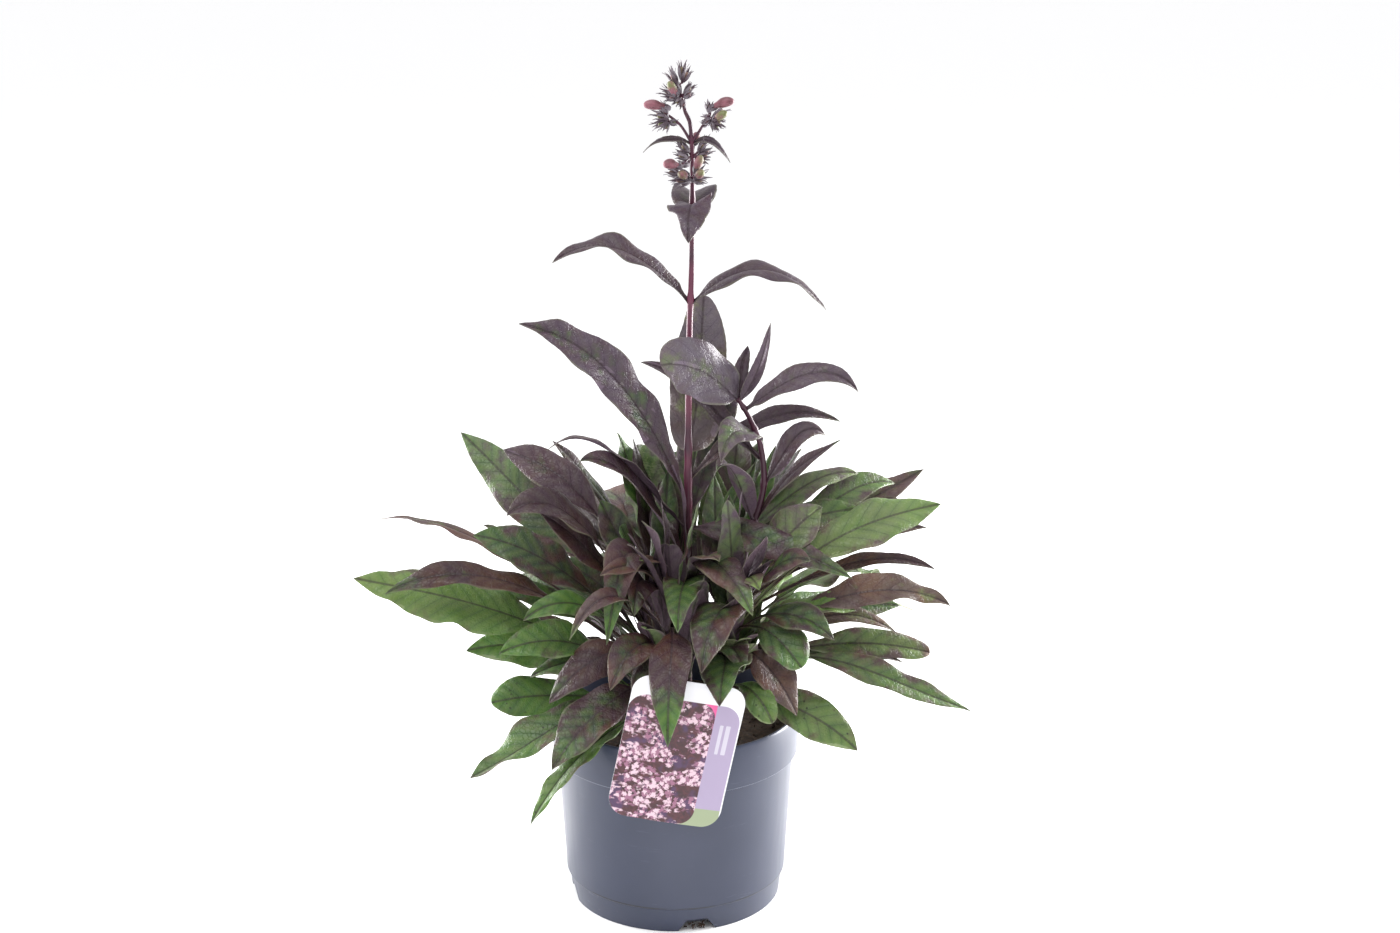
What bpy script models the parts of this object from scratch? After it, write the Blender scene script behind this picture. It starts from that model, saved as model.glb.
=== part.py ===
"""Potted penstemon: a bronze-leaved beardtongue in a round nursery pot, with its soil, stems, leaves,
flower buds and the picture label that clips over the pot's rim.

Every number is in millimetres and becomes metres when a mesh is finished. X runs to the right,
Y to the back and Z up. The origin is the middle of the pot's underside, on the surface it stands on.
"""

import math
from collections import namedtuple

import bmesh
import bpy
from mathutils import Matrix, Quaternion, Vector

MM = 0.001
GAP = 0.4  # left between pieces that touch

# Pot
RIM_RADIUS = 95.0
RIM_BAND = 34.0
POT_HEIGHT = 152.0
WALL = 2.4
FOOT_RADIUS = 80.5
FOOT_STEP_HEIGHT = 20.0
BODY_TOP_RADIUS = 90.5
BODY_FOOT_RADIUS = 84.6
PAD_RADIUS = 46.0
CHANNEL_HEIGHT = 6.0
POT_SEGMENTS = 64
NOTCHES = 4
FIRST_NOTCH_TURN = 282.0

# Soil and the woody crown that sits in it
SOIL_EDGE = 134.0
SOIL_MIDDLE = 138.0
CROWN_MIDDLE = Vector((8.0, 0.0))
CROWN_RADIUS = 38.0
CROWN_TOP = 150.0

# Clip-on picture label
LABEL_WIDTH = 84.0
LABEL_HEIGHT = 111.0
LABEL_BELOW_RIM = 54.0
LABEL_CORNER = 14.0
LABEL_THICK = 0.7
LABEL_LEAN = 12.0
LABEL_TURN = 6.0
HOOK_WIDTH = 22.0

# Leaves
LEAF_THICK = 1.2
LEAF_LENGTHWISE = 9
LEAF_FOLD = 16.0  # degrees that each half of a blade rises from flat
STALK_HALF_WIDTH = 2.2
TIP_HALF_WIDTH = 0.9

STEM_COLOUR = (0.20, 0.035, 0.065, 1.0)
LEAF_GREEN = (0.075, 0.15, 0.035, 1.0)
LEAF_PURPLE = (0.085, 0.035, 0.045, 1.0)


def shoot_point(points, height):
    """The point of a shoot's axis at this height."""
    for low, high in zip(points, points[1:]):
        if height <= high[2]:
            share = (height - low[2]) / (high[2] - low[2])
            return Vector(low).lerp(Vector(high), max(0.0, share))
    return Vector(points[-1])


# Axis points of each shoot, from the crown upwards, and the radius at its foot and its top.
Shoot = namedtuple("Shoot", "points foot_radius top_radius")
SHOOTS = {
    "main": Shoot(
        ((10, 0, 150.6), (10, 0, 300), (11, 0, 430), (13, 0, 500), (13, 0, 585), (8, 0, 607), (5, 0, 620)),
        3.0,
        1.0,
    ),
    "second": Shoot(
        (
            (25, -1, 149.5),
            (34, -2, 190),
            (46, -3, 245),
            (57, -4, 292),
            (66, -5, 326),
            (64, -6, 358),
            (56, -7, 380),
            (47, -8, 396),
        ),
        3.0,
        1.8,
    ),
    "left": Shoot(((-14, -4, 138), (-20, -10, 262)), 3.4, 2.6),
    "front": Shoot(((0, -20, 138), (-2, -30, 238)), 3.4, 2.6),
    "right": Shoot(((30, -22, 138), (44, -28, 244)), 3.4, 2.6),
    "back": Shoot(((2, 20, 138), (-4, 30, 240)), 3.4, 2.6),
    "back_right": Shoot(((28, 18, 138), (37, 30, 235)), 3.4, 2.6),
}
CROWN_SHOOTS = ("left", "front", "right", "back", "back_right")

# How a blade fills out along its length: the share that is bare stalk, and the powers that put the
# widest place near (rise / (rise + fall)) of the blade and make its end pointed or round.
Kind = namedtuple("Kind", "stalk rise fall")
KINDS = {
    "lance": Kind(0.34, 0.85, 0.95),
    "spoon": Kind(0.36, 0.90, 0.50),
    "stem": Kind(0.06, 0.60, 0.90),
    "ovate": Kind(0.02, 0.42, 0.85),
    "round": Kind(0.03, 0.48, 0.45),
}

# A leaf grows from a shoot at some height and ends at tip. Its midrib stands bow above the straight
# line between them, hook more than that near the tip and hook less near the shoot, and sway to the
# left of that line seen from above. roll turns the blade about its midrib, and twist turns its end more.
Leaf = namedtuple(
    "Leaf", "name shoot height tip width kind bow hook sway roll twist blush", defaults=(0, 0, 0, 0, 0, 0.5)
)
LEAVES = (
    Leaf("leaf_left_1", "left", 168, (-236, -40, 268), 46, "lance", bow=15, hook=-6, roll=-45, blush=0.05),
    Leaf("leaf_left_2", "left", 180, (-210, -62, 264), 26, "lance", bow=38, hook=6, roll=-30, blush=0.85),
    Leaf("leaf_left_3", "left", 190, (-234, 68, 278), 18, "lance", bow=25, hook=12, blush=0.6),
    Leaf("leaf_left_4", "left", 200, (-148, -30, 298), 36, "lance", bow=17, roll=-40, blush=0.35),
    Leaf("leaf_left_5", "left", 222, (-166, 76, 346), 38, "lance", bow=2, roll=-60, blush=0.3),
    Leaf("leaf_left_6", "left", 234, (-130, 36, 344), 32, "lance", bow=30, hook=-10, roll=-55, blush=0.9),
    Leaf("leaf_left_7", "left", 212, (-121, -56, 322), 30, "lance", bow=42, hook=4, roll=-30, blush=1.0),
    Leaf("leaf_left_8", "left", 158, (-129, -54, 214), 34, "lance", bow=26, roll=-40, blush=0.05),
    Leaf("leaf_left_9", "left", 148, (-136, -52, 174), 34, "spoon", bow=10, roll=-50, blush=0.0),
    Leaf("leaf_front_1", "front", 198, (-92, -71, 182), 34, "lance", bow=22, roll=-35, blush=0.85),
    Leaf("leaf_front_2", "front", 176, (-148, -106, 138), 40, "lance", bow=10, hook=-8, roll=-15, blush=0.2),
    Leaf("leaf_front_3", "front", 188, (-88, -114, 148), 38, "lance", bow=16, roll=-30, blush=0.5),
    Leaf("leaf_front_4", "front", 164, (-104, -122, 108), 26, "lance", bow=21, hook=8, roll=-5, blush=0.05),
    Leaf("leaf_front_5", "front", 226, (-4, -128, 172), 34, "lance", bow=32, hook=8, blush=0.9),
    Leaf("leaf_front_6", "right", 240, (20, -104, 219), 42, "ovate", bow=20, blush=0.45),
    Leaf("leaf_front_7", "main", 264, (57, -86, 256), 32, "stem", bow=20, roll=10, blush=0.5),
    Leaf("leaf_front_8", "main", 294, (130, -50, 272), 28, "stem", bow=9, roll=40, blush=0.45),
    Leaf("leaf_front_9", "main", 250, (3, -96, 247), 32, "stem", bow=16, blush=0.2),
    Leaf("leaf_front_10", "left", 262, (-49, -72, 228), 30, "stem", bow=40, hook=6, roll=-30, blush=0.7),
    Leaf("leaf_front_11", "right", 200, (33, -110, 196), 42, "stem", bow=14, blush=0.3),
    Leaf("leaf_front_12", "right", 172, (136, -64, 141), 36, "lance", bow=14, roll=45, blush=0.15),
    Leaf("leaf_front_13", "right", 222, (93, -72, 210), 36, "spoon", bow=14, roll=35, blush=0.25),
    Leaf("leaf_right_1", "right", 182, (222, -46, 165), 24, "lance", bow=24, hook=-13, roll=35, blush=0.3),
    Leaf("leaf_right_2", "right", 195, (193, -12, 198), 28, "spoon", bow=10, hook=4, roll=40, blush=0.3),
    Leaf("leaf_right_3", "right", 207, (204, -44, 248), 30, "lance", bow=24, hook=10, roll=35, blush=0.75),
    Leaf("leaf_right_4", "right", 220, (201, 20, 306), 40, "lance", bow=24, hook=-8, roll=50, blush=0.15),
    Leaf("leaf_right_5", "back_right", 215, (194, 90, 312), 26, "lance", bow=14, hook=-8, roll=40, blush=0.5),
    Leaf("leaf_right_6", "second", 222, (169, 60, 310), 26, "lance", bow=26, hook=10, roll=45, blush=0.2),
    Leaf("leaf_right_7", "main", 244, (140, 46, 322), 22, "lance", bow=20, hook=12, roll=35, blush=0.25),
    Leaf("leaf_second_1", "second", 396, (-9, -30, 427), 46, "round", bow=9, hook=2, roll=-62, blush=0.6),
    Leaf("leaf_second_2", "second", 395, (70, -14, 455), 14, "stem", bow=-10, roll=-40, blush=0.95),
    Leaf("leaf_second_3", "second", 372, (34, -48, 360), 32, "ovate", bow=12, hook=10, roll=-20, blush=0.5),
    Leaf("leaf_second_4", "second", 388, (135, -14, 403), 24, "stem", bow=20, hook=10, roll=35, blush=0.6),
    Leaf("leaf_second_5", "main", 332, (124, 24, 370), 17, "stem", bow=22, hook=2, roll=40, blush=1.0),
    Leaf("leaf_second_6", "second", 330, (112, 0, 366), 20, "stem", bow=15, hook=6, roll=40, blush=0.7),
    Leaf("leaf_second_7", "second", 300, (122, -20, 369), 15, "stem", bow=8, hook=-4, roll=30, blush=0.9),
    Leaf("leaf_stem_1", "main", 292, (-94, -12, 358), 22, "stem", bow=26, hook=14, roll=20, blush=0.9),
    Leaf("leaf_stem_2", "main", 312, (-112, -12, 454), 36, "stem", bow=38, hook=-12, roll=-50, blush=0.6),
    Leaf("leaf_stem_3", "main", 352, (22, 52, 460), 44, "round", bow=-16, roll=10, blush=0.6),
    Leaf("leaf_stem_4", "main", 466, (-88, -2, 497), 28, "stem", bow=24, hook=2, roll=-20, blush=0.9),
    Leaf("leaf_stem_5", "main", 466, (111, -2, 462), 28, "stem", bow=27, hook=2, roll=15, blush=0.8),
    Leaf("leaf_stem_6", "main", 538, (11, -62, 524), 34, "ovate", bow=10, blush=0.8),
    Leaf("leaf_stem_7", "main", 536, (13, 58, 532), 36, "ovate", bow=8, blush=0.8),
    Leaf("leaf_back_1", "back", 165, (-150, 110, 200), 40, "lance", bow=25, blush=0.2),
    Leaf("leaf_back_2", "back", 175, (-80, 165, 210), 42, "lance", bow=30, blush=0.4),
    Leaf("leaf_back_3", "back", 185, (-10, 190, 215), 44, "lance", bow=32, blush=0.2),
    Leaf("leaf_back_4", "back_right", 170, (90, 170, 205), 42, "lance", bow=28, blush=0.5),
    Leaf("leaf_back_5", "back_right", 180, (165, 115, 215), 42, "lance", bow=26, blush=0.2),
    Leaf("leaf_back_6", "back", 200, (-108, 104, 300), 36, "lance", bow=22, blush=0.6),
    Leaf("leaf_back_7", "back", 212, (-35, 140, 275), 38, "lance", bow=24, blush=0.3),
    Leaf("leaf_back_8", "back_right", 205, (78, 128, 300), 38, "lance", bow=24, blush=0.6),
)

# Tufts of spiky calyces at the ends of the flower branches and round the stem: middle and half sizes.
# They are grown on the stem, so they are part of it.
CALYCES = (
    ((4, 0, 626), (14, 12, 15)),
    ((-8, -1, 598), (10, 10, 8)),
    ((29, -1, 601), (10, 10, 9)),
    ((5, -3, 570), (10, 9, 15)),
    ((20, -2, 570), (9, 9, 15)),
)
# Closed flower buds, each an egg shape: foot, end and radius.
BUDS = (
    ("bud_left", (-7, -9, 611), (-21, -12, 612), 3.4),
    ("bud_right", (28, -10, 612), (42, -12, 615), 3.4),
    ("bud_low_left", (2, -15, 569), (-7, -19, 572), 3.4),
)
# Flower branches, part of the main stem: axis points and radius.
BRANCHES = (
    (((13, 0, 583), (5, -1, 596), (-5, -1, 604)), 0.9),
    (((13, 0, 583), (20, -1, 594), (26, -1, 604)), 0.9),
)


def clear_scene():
    for obj in list(bpy.data.objects):
        bpy.data.objects.remove(obj)


def material(name, colour, roughness=0.6, metallic=0.0):
    made = bpy.data.materials.new(name)
    made.use_nodes = True
    shader = made.node_tree.nodes["Principled BSDF"]
    shader.inputs["Base Color"].default_value = colour
    shader.inputs["Roughness"].default_value = roughness
    shader.inputs["Metallic"].default_value = metallic
    return made


def finish(name, bm, finish_material, sharp=35.0):
    """Turns a bmesh in millimetres into an object in metres, shaded smooth between its sharp edges."""
    bmesh.ops.recalc_face_normals(bm, faces=bm.faces)
    bmesh.ops.transform(bm, matrix=Matrix.Scale(MM, 4), verts=bm.verts)
    mesh = bpy.data.meshes.new(name)
    bm.to_mesh(mesh)
    bm.free()
    mesh.shade_smooth()
    mesh.set_sharp_from_angle(angle=math.radians(sharp))
    obj = bpy.data.objects.new(name, mesh)
    bpy.context.scene.collection.objects.link(obj)
    if finish_material:
        mesh.materials.append(finish_material)
    return obj


def helper(obj):
    """Marks an object that only cuts or joins others."""
    obj.hide_render = True
    obj.display_type = "WIRE"
    return obj


def boolean(obj, other, operation):
    modifier = obj.modifiers.new(other.name, "BOOLEAN")
    modifier.object = other
    modifier.operation = operation
    modifier.solver = "EXACT"


def turned(profile, segments):
    """A solid of revolution about Z from a closed outline of (radius, height)."""
    bm = bmesh.new()
    verts = [bm.verts.new((radius, 0, height)) for radius, height in profile]
    edges = [bm.edges.new(pair) for pair in zip(verts, verts[1:])]
    if profile[0][0] > 0:
        edges.append(bm.edges.new((verts[-1], verts[0])))
    bmesh.ops.spin(
        bm,
        geom=verts + edges,
        axis=(0, 0, 1),
        cent=(0, 0, 0),
        angle=math.tau,
        steps=segments,
        use_merge=True,
    )
    bmesh.ops.remove_doubles(bm, verts=bm.verts, dist=0.001)
    return bm


def pot():
    """The moulded pot: rim band, tapered wall, stepped foot ring and a floor with a raised channel."""
    floor = WALL + CHANNEL_HEIGHT
    outline = (
        (0, 0),
        (PAD_RADIUS, 0),
        (PAD_RADIUS + 5, CHANNEL_HEIGHT),
        (FOOT_RADIUS - WALL - 0.6, CHANNEL_HEIGHT),
        (FOOT_RADIUS - WALL, 0),
        (FOOT_RADIUS, 0),
        (BODY_FOOT_RADIUS - 2, FOOT_STEP_HEIGHT - 1),
        (BODY_FOOT_RADIUS, FOOT_STEP_HEIGHT),
        (BODY_TOP_RADIUS, POT_HEIGHT - RIM_BAND - 1),
        (RIM_RADIUS - 1, POT_HEIGHT - RIM_BAND),
        (RIM_RADIUS, POT_HEIGHT - 2),
        (RIM_RADIUS - 0.7, POT_HEIGHT),
        (RIM_RADIUS - WALL, POT_HEIGHT),
        (RIM_RADIUS - WALL - 0.6, POT_HEIGHT - RIM_BAND + 3),
        (BODY_TOP_RADIUS - WALL, POT_HEIGHT - RIM_BAND - 1),
        (FOOT_RADIUS - 0.5, floor),
        (PAD_RADIUS + 4, floor),
        (PAD_RADIUS - 1, WALL),
        (0, WALL),
    )
    shell = finish("pot", turned(outline, POT_SEGMENTS), material("pot", (0.10, 0.11, 0.14, 1), 0.45))
    boolean(shell, drain_cutter(), "DIFFERENCE")
    return shell


def drain_cutter():
    """Wedges that notch the foot ring and run inwards through the channel's floor as drain slots."""
    bm = bmesh.new()
    for index in range(NOTCHES):
        turn = math.radians(FIRST_NOTCH_TURN + index * 360 / NOTCHES)
        place = Matrix.Rotation(turn, 4, "Z")
        notch = bmesh.ops.create_cube(bm, size=1)["verts"]
        bmesh.ops.scale(bm, vec=(10, 32, 12), verts=notch)
        bmesh.ops.scale(bm, vec=(1, 0.48, 1), verts=[v for v in notch if v.co.z > 0])
        bmesh.ops.translate(bm, vec=(FOOT_RADIUS + 0.5, 0, 4.0), verts=notch)
        bmesh.ops.transform(bm, matrix=place, verts=notch)
        slot = bmesh.ops.create_cube(bm, size=1)["verts"]
        bmesh.ops.scale(bm, vec=(15, 9, 8), verts=slot)
        bmesh.ops.translate(bm, vec=(FOOT_RADIUS - 14, 0, CHANNEL_HEIGHT + 1), verts=slot)
        bmesh.ops.transform(bm, matrix=place, verts=slot)
    return helper(finish("drain_cutter", bm, None))


def soil():
    """The potting soil, filling the pot to a little under its rim."""
    floor = WALL + CHANNEL_HEIGHT + GAP
    outline = (
        (0, WALL + GAP),
        (PAD_RADIUS - 1.5, WALL + GAP),
        (PAD_RADIUS + 3, floor),
        (FOOT_RADIUS - 1.1, floor),
        (BODY_TOP_RADIUS - WALL - GAP, POT_HEIGHT - RIM_BAND - 1),
        (RIM_RADIUS - WALL - 1.1, POT_HEIGHT - RIM_BAND + 3.5),
        (RIM_RADIUS - WALL - 1.0, SOIL_EDGE),
        (CROWN_RADIUS * 1.5, SOIL_MIDDLE - GAP),
        (0, SOIL_MIDDLE - GAP),
    )
    return finish("soil", turned(outline, 48), material("soil", (0.035, 0.022, 0.015, 1), 0.95))


def tube(name, points, foot_radius, top_radius, finish_material, sides=2):
    """A round stem along a smooth line through points, thinning towards its top."""
    curve = bpy.data.curves.new(name, "CURVE")
    curve.dimensions = "3D"
    curve.bevel_depth = MM
    curve.bevel_resolution = sides
    curve.resolution_u = 3
    curve.use_fill_caps = True
    spline = curve.splines.new("BEZIER")
    spline.bezier_points.add(len(points) - 1)
    for index, point in enumerate(points):
        share = index / (len(points) - 1)
        bezier = spline.bezier_points[index]
        bezier.co = Vector(point) * MM
        bezier.handle_left_type = bezier.handle_right_type = "AUTO"
        bezier.radius = foot_radius + (top_radius - foot_radius) * share
    obj = bpy.data.objects.new(name, curve)
    bpy.context.scene.collection.objects.link(obj)
    if finish_material:
        curve.materials.append(finish_material)
    return obj


def as_mesh(obj):
    """The same object as a mesh with its doubles merged, which a Boolean needs."""
    mesh = bpy.data.meshes.new_from_object(obj.evaluated_get(bpy.context.evaluated_depsgraph_get()))
    bm = bmesh.new()
    bm.from_mesh(mesh)
    bmesh.ops.remove_doubles(bm, verts=bm.verts, dist=0.00001)
    bmesh.ops.recalc_face_normals(bm, faces=bm.faces)
    bm.to_mesh(mesh)
    bm.free()
    made = bpy.data.objects.new(obj.name + "_solid", mesh)
    bpy.context.scene.collection.objects.link(made)
    bpy.data.objects.remove(obj)
    return made


def joined(name, pieces, finish_material):
    """One body from overlapping pieces: the first keeps its name, and the others join it."""
    first, *others = pieces
    first.name = name
    if finish_material and not first.data.materials:
        first.data.materials.append(finish_material)
    for other in others:
        boolean(first, helper(other), "UNION")
    return first


def crown():
    """The woody crown: a low mound on the soil with its short leafy shoots."""
    bark = material("crown_bark", (0.10, 0.05, 0.03, 1), 0.8)
    outline = (
        (0, SOIL_MIDDLE),
        (CROWN_RADIUS, SOIL_MIDDLE),
        (CROWN_RADIUS * 0.85, CROWN_TOP - 7),
        (CROWN_RADIUS * 0.5, CROWN_TOP - 2),
        (0, CROWN_TOP),
    )
    bm = turned(outline, 20)
    bmesh.ops.translate(bm, vec=CROWN_MIDDLE.to_3d(), verts=bm.verts)
    pieces = [finish("crown_mound", bm, bark)]
    for name in CROWN_SHOOTS:
        shoot = SHOOTS[name]
        foot = Vector(shoot.points[0]) + Vector((0, 0, 2))
        stem = tube("shoot_" + name, (foot, shoot.points[1]), shoot.foot_radius, shoot.top_radius, None, 1)
        pieces.append(as_mesh(stem))
    return joined("crown", pieces, bark)


def calyx_tuft(name, middle, half_sizes):
    """A knobbly ball that stands for a tuft of spiky calyces."""
    bm = bmesh.new()
    bmesh.ops.create_icosphere(bm, subdivisions=2, radius=1)
    for vert in bm.verts:
        x, y, z = vert.co
        lump = 1 + 0.12 * math.sin(5 * x + 2 * z) * math.cos(4 * y - 3 * z)
        vert.co = Vector((x * half_sizes[0], y * half_sizes[1], z * half_sizes[2])) * lump
        vert.co += Vector(middle)
    return finish(name, bm, None)


def stems():
    """The flowering stem with its two flower branches and calyces, and the shorter second stem."""
    skin = material("stem", STEM_COLOUR, 0.45)
    main = SHOOTS["main"]
    pieces = [as_mesh(tube("main", main.points, main.foot_radius, main.top_radius, skin))]
    for index, (points, radius) in enumerate(BRANCHES):
        pieces.append(as_mesh(tube(f"branch_{index + 1}", points, radius, radius * 0.8, None, 1)))
    for index, (middle, half_sizes) in enumerate(CALYCES):
        pieces.append(calyx_tuft(f"calyces_{index + 1}", middle, half_sizes))
    joined("flower_stem", pieces, skin)
    second = SHOOTS["second"]
    tube("second_stem", second.points, second.foot_radius, second.top_radius, skin)


def arc(middle, radius, start, end, steps):
    """Points of an arc in the XZ plane, from angle start to end in degrees."""
    for index in range(steps + 1):
        angle = math.radians(start + (end - start) * index / steps)
        yield (middle[0] + radius * math.cos(angle), middle[1] + radius * math.sin(angle))


def label():
    """The picture label: a rounded card outside the rim, held by a tongue that hooks over it."""
    card = material("label_card", (0.75, 0.72, 0.78, 1), 0.35)
    half, low = LABEL_WIDTH / 2 - LABEL_CORNER, LABEL_CORNER - LABEL_BELOW_RIM
    high = low + LABEL_HEIGHT - 2 * LABEL_CORNER
    corners = (((half, low), -90), ((half, high), 0), ((-half, high), 90), ((-half, low), 180))
    bm = bmesh.new()
    verts = [
        bm.verts.new((x, 0, z))
        for middle, start in corners
        for x, z in arc(middle, LABEL_CORNER, start, start + 90, 5)
    ]
    face = bm.faces.new(verts)
    pushed = bmesh.ops.extrude_face_region(bm, geom=[face])["geom"]
    moved = [item for item in pushed if isinstance(item, bmesh.types.BMVert)]
    bmesh.ops.translate(bm, vec=(0, -LABEL_THICK, 0), verts=moved)
    plate = finish("label_plate", bm, card)
    # The tongue's side view: out of the plate above the rim, back over it and down inside the wall.
    inside = WALL + 5.5
    side_view = (
        (-LABEL_THICK / 2, 4.0),
        (-LABEL_THICK / 2, 9.0),
        (inside + LABEL_THICK, 9.0),
        (inside + LABEL_THICK, -11.5),
        (inside, -11.5),
        (inside, 4.0),
    )
    bm = bmesh.new()
    verts = [bm.verts.new((-HOOK_WIDTH / 2, y, z)) for y, z in side_view]
    pushed = bmesh.ops.extrude_face_region(bm, geom=[bm.faces.new(verts)])["geom"]
    moved = [item for item in pushed if isinstance(item, bmesh.types.BMVert)]
    bmesh.ops.translate(bm, vec=(HOOK_WIDTH, 0, 0), verts=moved)
    tongue = finish("label_tongue", bm, None)
    made = joined("label", [plate, tongue], card)
    for piece in (made, tongue):
        piece.location = Vector((2, -RIM_RADIUS - GAP, POT_HEIGHT)) * MM
        piece.rotation_euler = (0, math.radians(LABEL_LEAN), math.radians(LABEL_TURN))
    return made


def midrib(leaf):
    """The four control points of the leaf's midrib, a cubic curve from the shoot to the tip."""
    shoot = SHOOTS[leaf.shoot]
    axis = shoot_point(shoot.points, leaf.height)
    tip = Vector(leaf.tip)
    outward = Vector((tip.x - axis.x, tip.y - axis.y, 0)).normalized()
    foot = axis + outward * (shoot.foot_radius + 1.2)
    across = Vector((-outward.y, outward.x, 0))
    near = Vector((0, 0, leaf.bow - leaf.hook)) + across * leaf.sway
    far = Vector((0, 0, leaf.bow + leaf.hook)) + across * leaf.sway
    return foot, foot.lerp(tip, 1 / 3) + near / 0.75, foot.lerp(tip, 2 / 3) + far / 0.75, tip


def along(points, share):
    """A cubic curve's point and direction at this share of it."""
    a, b, c, d = points
    rest = 1 - share
    place = a * rest**3 + b * 3 * rest**2 * share + c * 3 * rest * share**2 + d * share**3
    heading = (b - a) * rest**2 + (c - b) * 2 * rest * share + (d - c) * share**2
    return place, heading.normalized()


def half_width(leaf, share):
    """Half the blade's width at this share of the leaf's length."""
    kind = KINDS[leaf.kind]
    blade = max(0.0, (share - kind.stalk) / (1 - kind.stalk))
    peak = kind.rise / (kind.rise + kind.fall)
    fullest = peak**kind.rise * (1 - peak) ** kind.fall
    wide = leaf.width / 2 * blade**kind.rise * (1 - blade) ** kind.fall / fullest
    least = STALK_HALF_WIDTH + (TIP_HALF_WIDTH - STALK_HALF_WIDTH) * share
    return max(wide, least)


def blade_frames(leaf, steps):
    """Place, side direction and upward direction of the blade at steps + 1 stations."""
    points = midrib(leaf)
    place, heading = along(points, 0.0)
    up = Vector((0, 0, 1)) - heading * heading.z
    up.normalize()
    frames = []
    for index in range(steps + 1):
        share = index / steps
        place, ahead = along(points, share)
        up = heading.rotation_difference(ahead) @ up
        heading = ahead
        turned_up = Quaternion(ahead, math.radians(leaf.roll + leaf.twist * share)) @ up
        frames.append((share, place, turned_up.cross(ahead), turned_up))
    return frames


def leaf(row, finish_material):
    """A leaf as a thin folded blade, narrowing to its stalk."""
    bm = bmesh.new()
    bmesh.ops.create_grid(bm, x_segments=LEAF_LENGTHWISE, y_segments=2, size=1)
    frames = blade_frames(row, LEAF_LENGTHWISE)
    rise, spread = math.sin(math.radians(LEAF_FOLD)), math.cos(math.radians(LEAF_FOLD))
    for vert in bm.verts:
        share, place, side, up = frames[round((vert.co.x + 1) / 2 * LEAF_LENGTHWISE)]
        out = vert.co.y * half_width(row, share)
        vert.co = place + side * (out * spread) + up * (abs(out) * rise)
    bmesh.ops.recalc_face_normals(bm, faces=bm.faces)
    bmesh.ops.solidify(bm, geom=bm.faces[:], thickness=LEAF_THICK)
    return finish(row.name, bm, finish_material)


def leaves():
    tones = {}
    for row in LEAVES:
        step = round(row.blush * 4) / 4
        if step not in tones:
            mix = [g + (p - g) * step for g, p in zip(LEAF_GREEN, LEAF_PURPLE)]
            tones[step] = material(f"leaf_blush_{round(step * 100)}", mix, 0.5)
        leaf(row, tones[step])


def bud(name, foot, end, radius, finish_material):
    """A closed flower bud: an egg shape, fuller towards its end."""
    axis = Vector(end) - Vector(foot)
    turn = Vector((0, 0, 1)).rotation_difference(axis.normalized()).to_matrix().to_4x4()
    bm = bmesh.new()
    bmesh.ops.create_uvsphere(bm, u_segments=12, v_segments=8, radius=1)
    for vert in bm.verts:
        fuller = 1 + 0.25 * vert.co.z
        vert.co = Vector((vert.co.x * radius * fuller, vert.co.y * radius * fuller, vert.co.z * axis.length / 2))
    place = Matrix.Translation((Vector(foot) + Vector(end)) / 2) @ turn
    bmesh.ops.transform(bm, matrix=place, verts=bm.verts)
    return finish(name, bm, finish_material)


def buds():
    pink = material("bud", (0.30, 0.10, 0.13, 1), 0.5)
    for name, foot, end, radius in BUDS:
        bud(name, foot, end, radius, pink)


clear_scene()
pot()
soil()
label()
crown()
stems()
leaves()
buds()
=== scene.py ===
"""Potted penstemon: a bronze-leaved beardtongue in a moulded nursery pot, with a picture label.

It is laid out as a Blender add-on and run as a script: each operator makes one group of pieces round
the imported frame. Sizes are in millimetres until a mesh is finished, when they become metres.
X runs to the right, Y to the back and Z up, from the middle of the pot's underside.
"""

import math
import random
from collections import namedtuple

import bmesh
import bpy
from mathutils import Euler, Matrix, Quaternion, Vector, noise


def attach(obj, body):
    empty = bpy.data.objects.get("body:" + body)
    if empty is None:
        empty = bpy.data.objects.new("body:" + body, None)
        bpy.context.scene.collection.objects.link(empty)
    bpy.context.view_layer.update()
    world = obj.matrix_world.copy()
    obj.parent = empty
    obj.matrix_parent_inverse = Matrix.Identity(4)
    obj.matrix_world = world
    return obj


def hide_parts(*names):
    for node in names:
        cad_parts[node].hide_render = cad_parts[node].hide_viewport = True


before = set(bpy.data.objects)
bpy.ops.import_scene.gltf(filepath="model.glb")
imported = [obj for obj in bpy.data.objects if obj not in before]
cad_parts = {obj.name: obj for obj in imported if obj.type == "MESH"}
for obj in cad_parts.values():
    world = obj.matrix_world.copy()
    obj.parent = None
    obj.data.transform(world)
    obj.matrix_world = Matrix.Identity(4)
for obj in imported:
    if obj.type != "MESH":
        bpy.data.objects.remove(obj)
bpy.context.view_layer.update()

bl_info = {
    "name": "Potted penstemon",
    "version": (1, 0, 0),
    "blender": (4, 5, 0),
    "location": "3D View > Sidebar > Penstemon",
    "description": "Makes a bronze-leaved penstemon in its nursery pot, piece by piece",
    "category": "Add Mesh",
}

MM = 0.001
BODY = "root"

# Pot
RIM_RADIUS = 95.0
RIM_BAND = 34.0
POT_HEIGHT = 152.0
WALL = 2.4
FOOT_RADIUS = 80.5
FOOT_STEP_HEIGHT = 20.0
BODY_TOP_RADIUS = 90.5
BODY_FOOT_RADIUS = 84.6
PAD_RADIUS = 46.0
CHANNEL_HEIGHT = 6.0
POT_SEGMENTS = 144
NOTCHES = 4
FIRST_NOTCH_TURN = 282.0
NOTCH_SIZE = (10, 32, 12)
NOTCH_TAPER = 0.48
SLOT_SIZE = (15, 9, 8)

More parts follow.
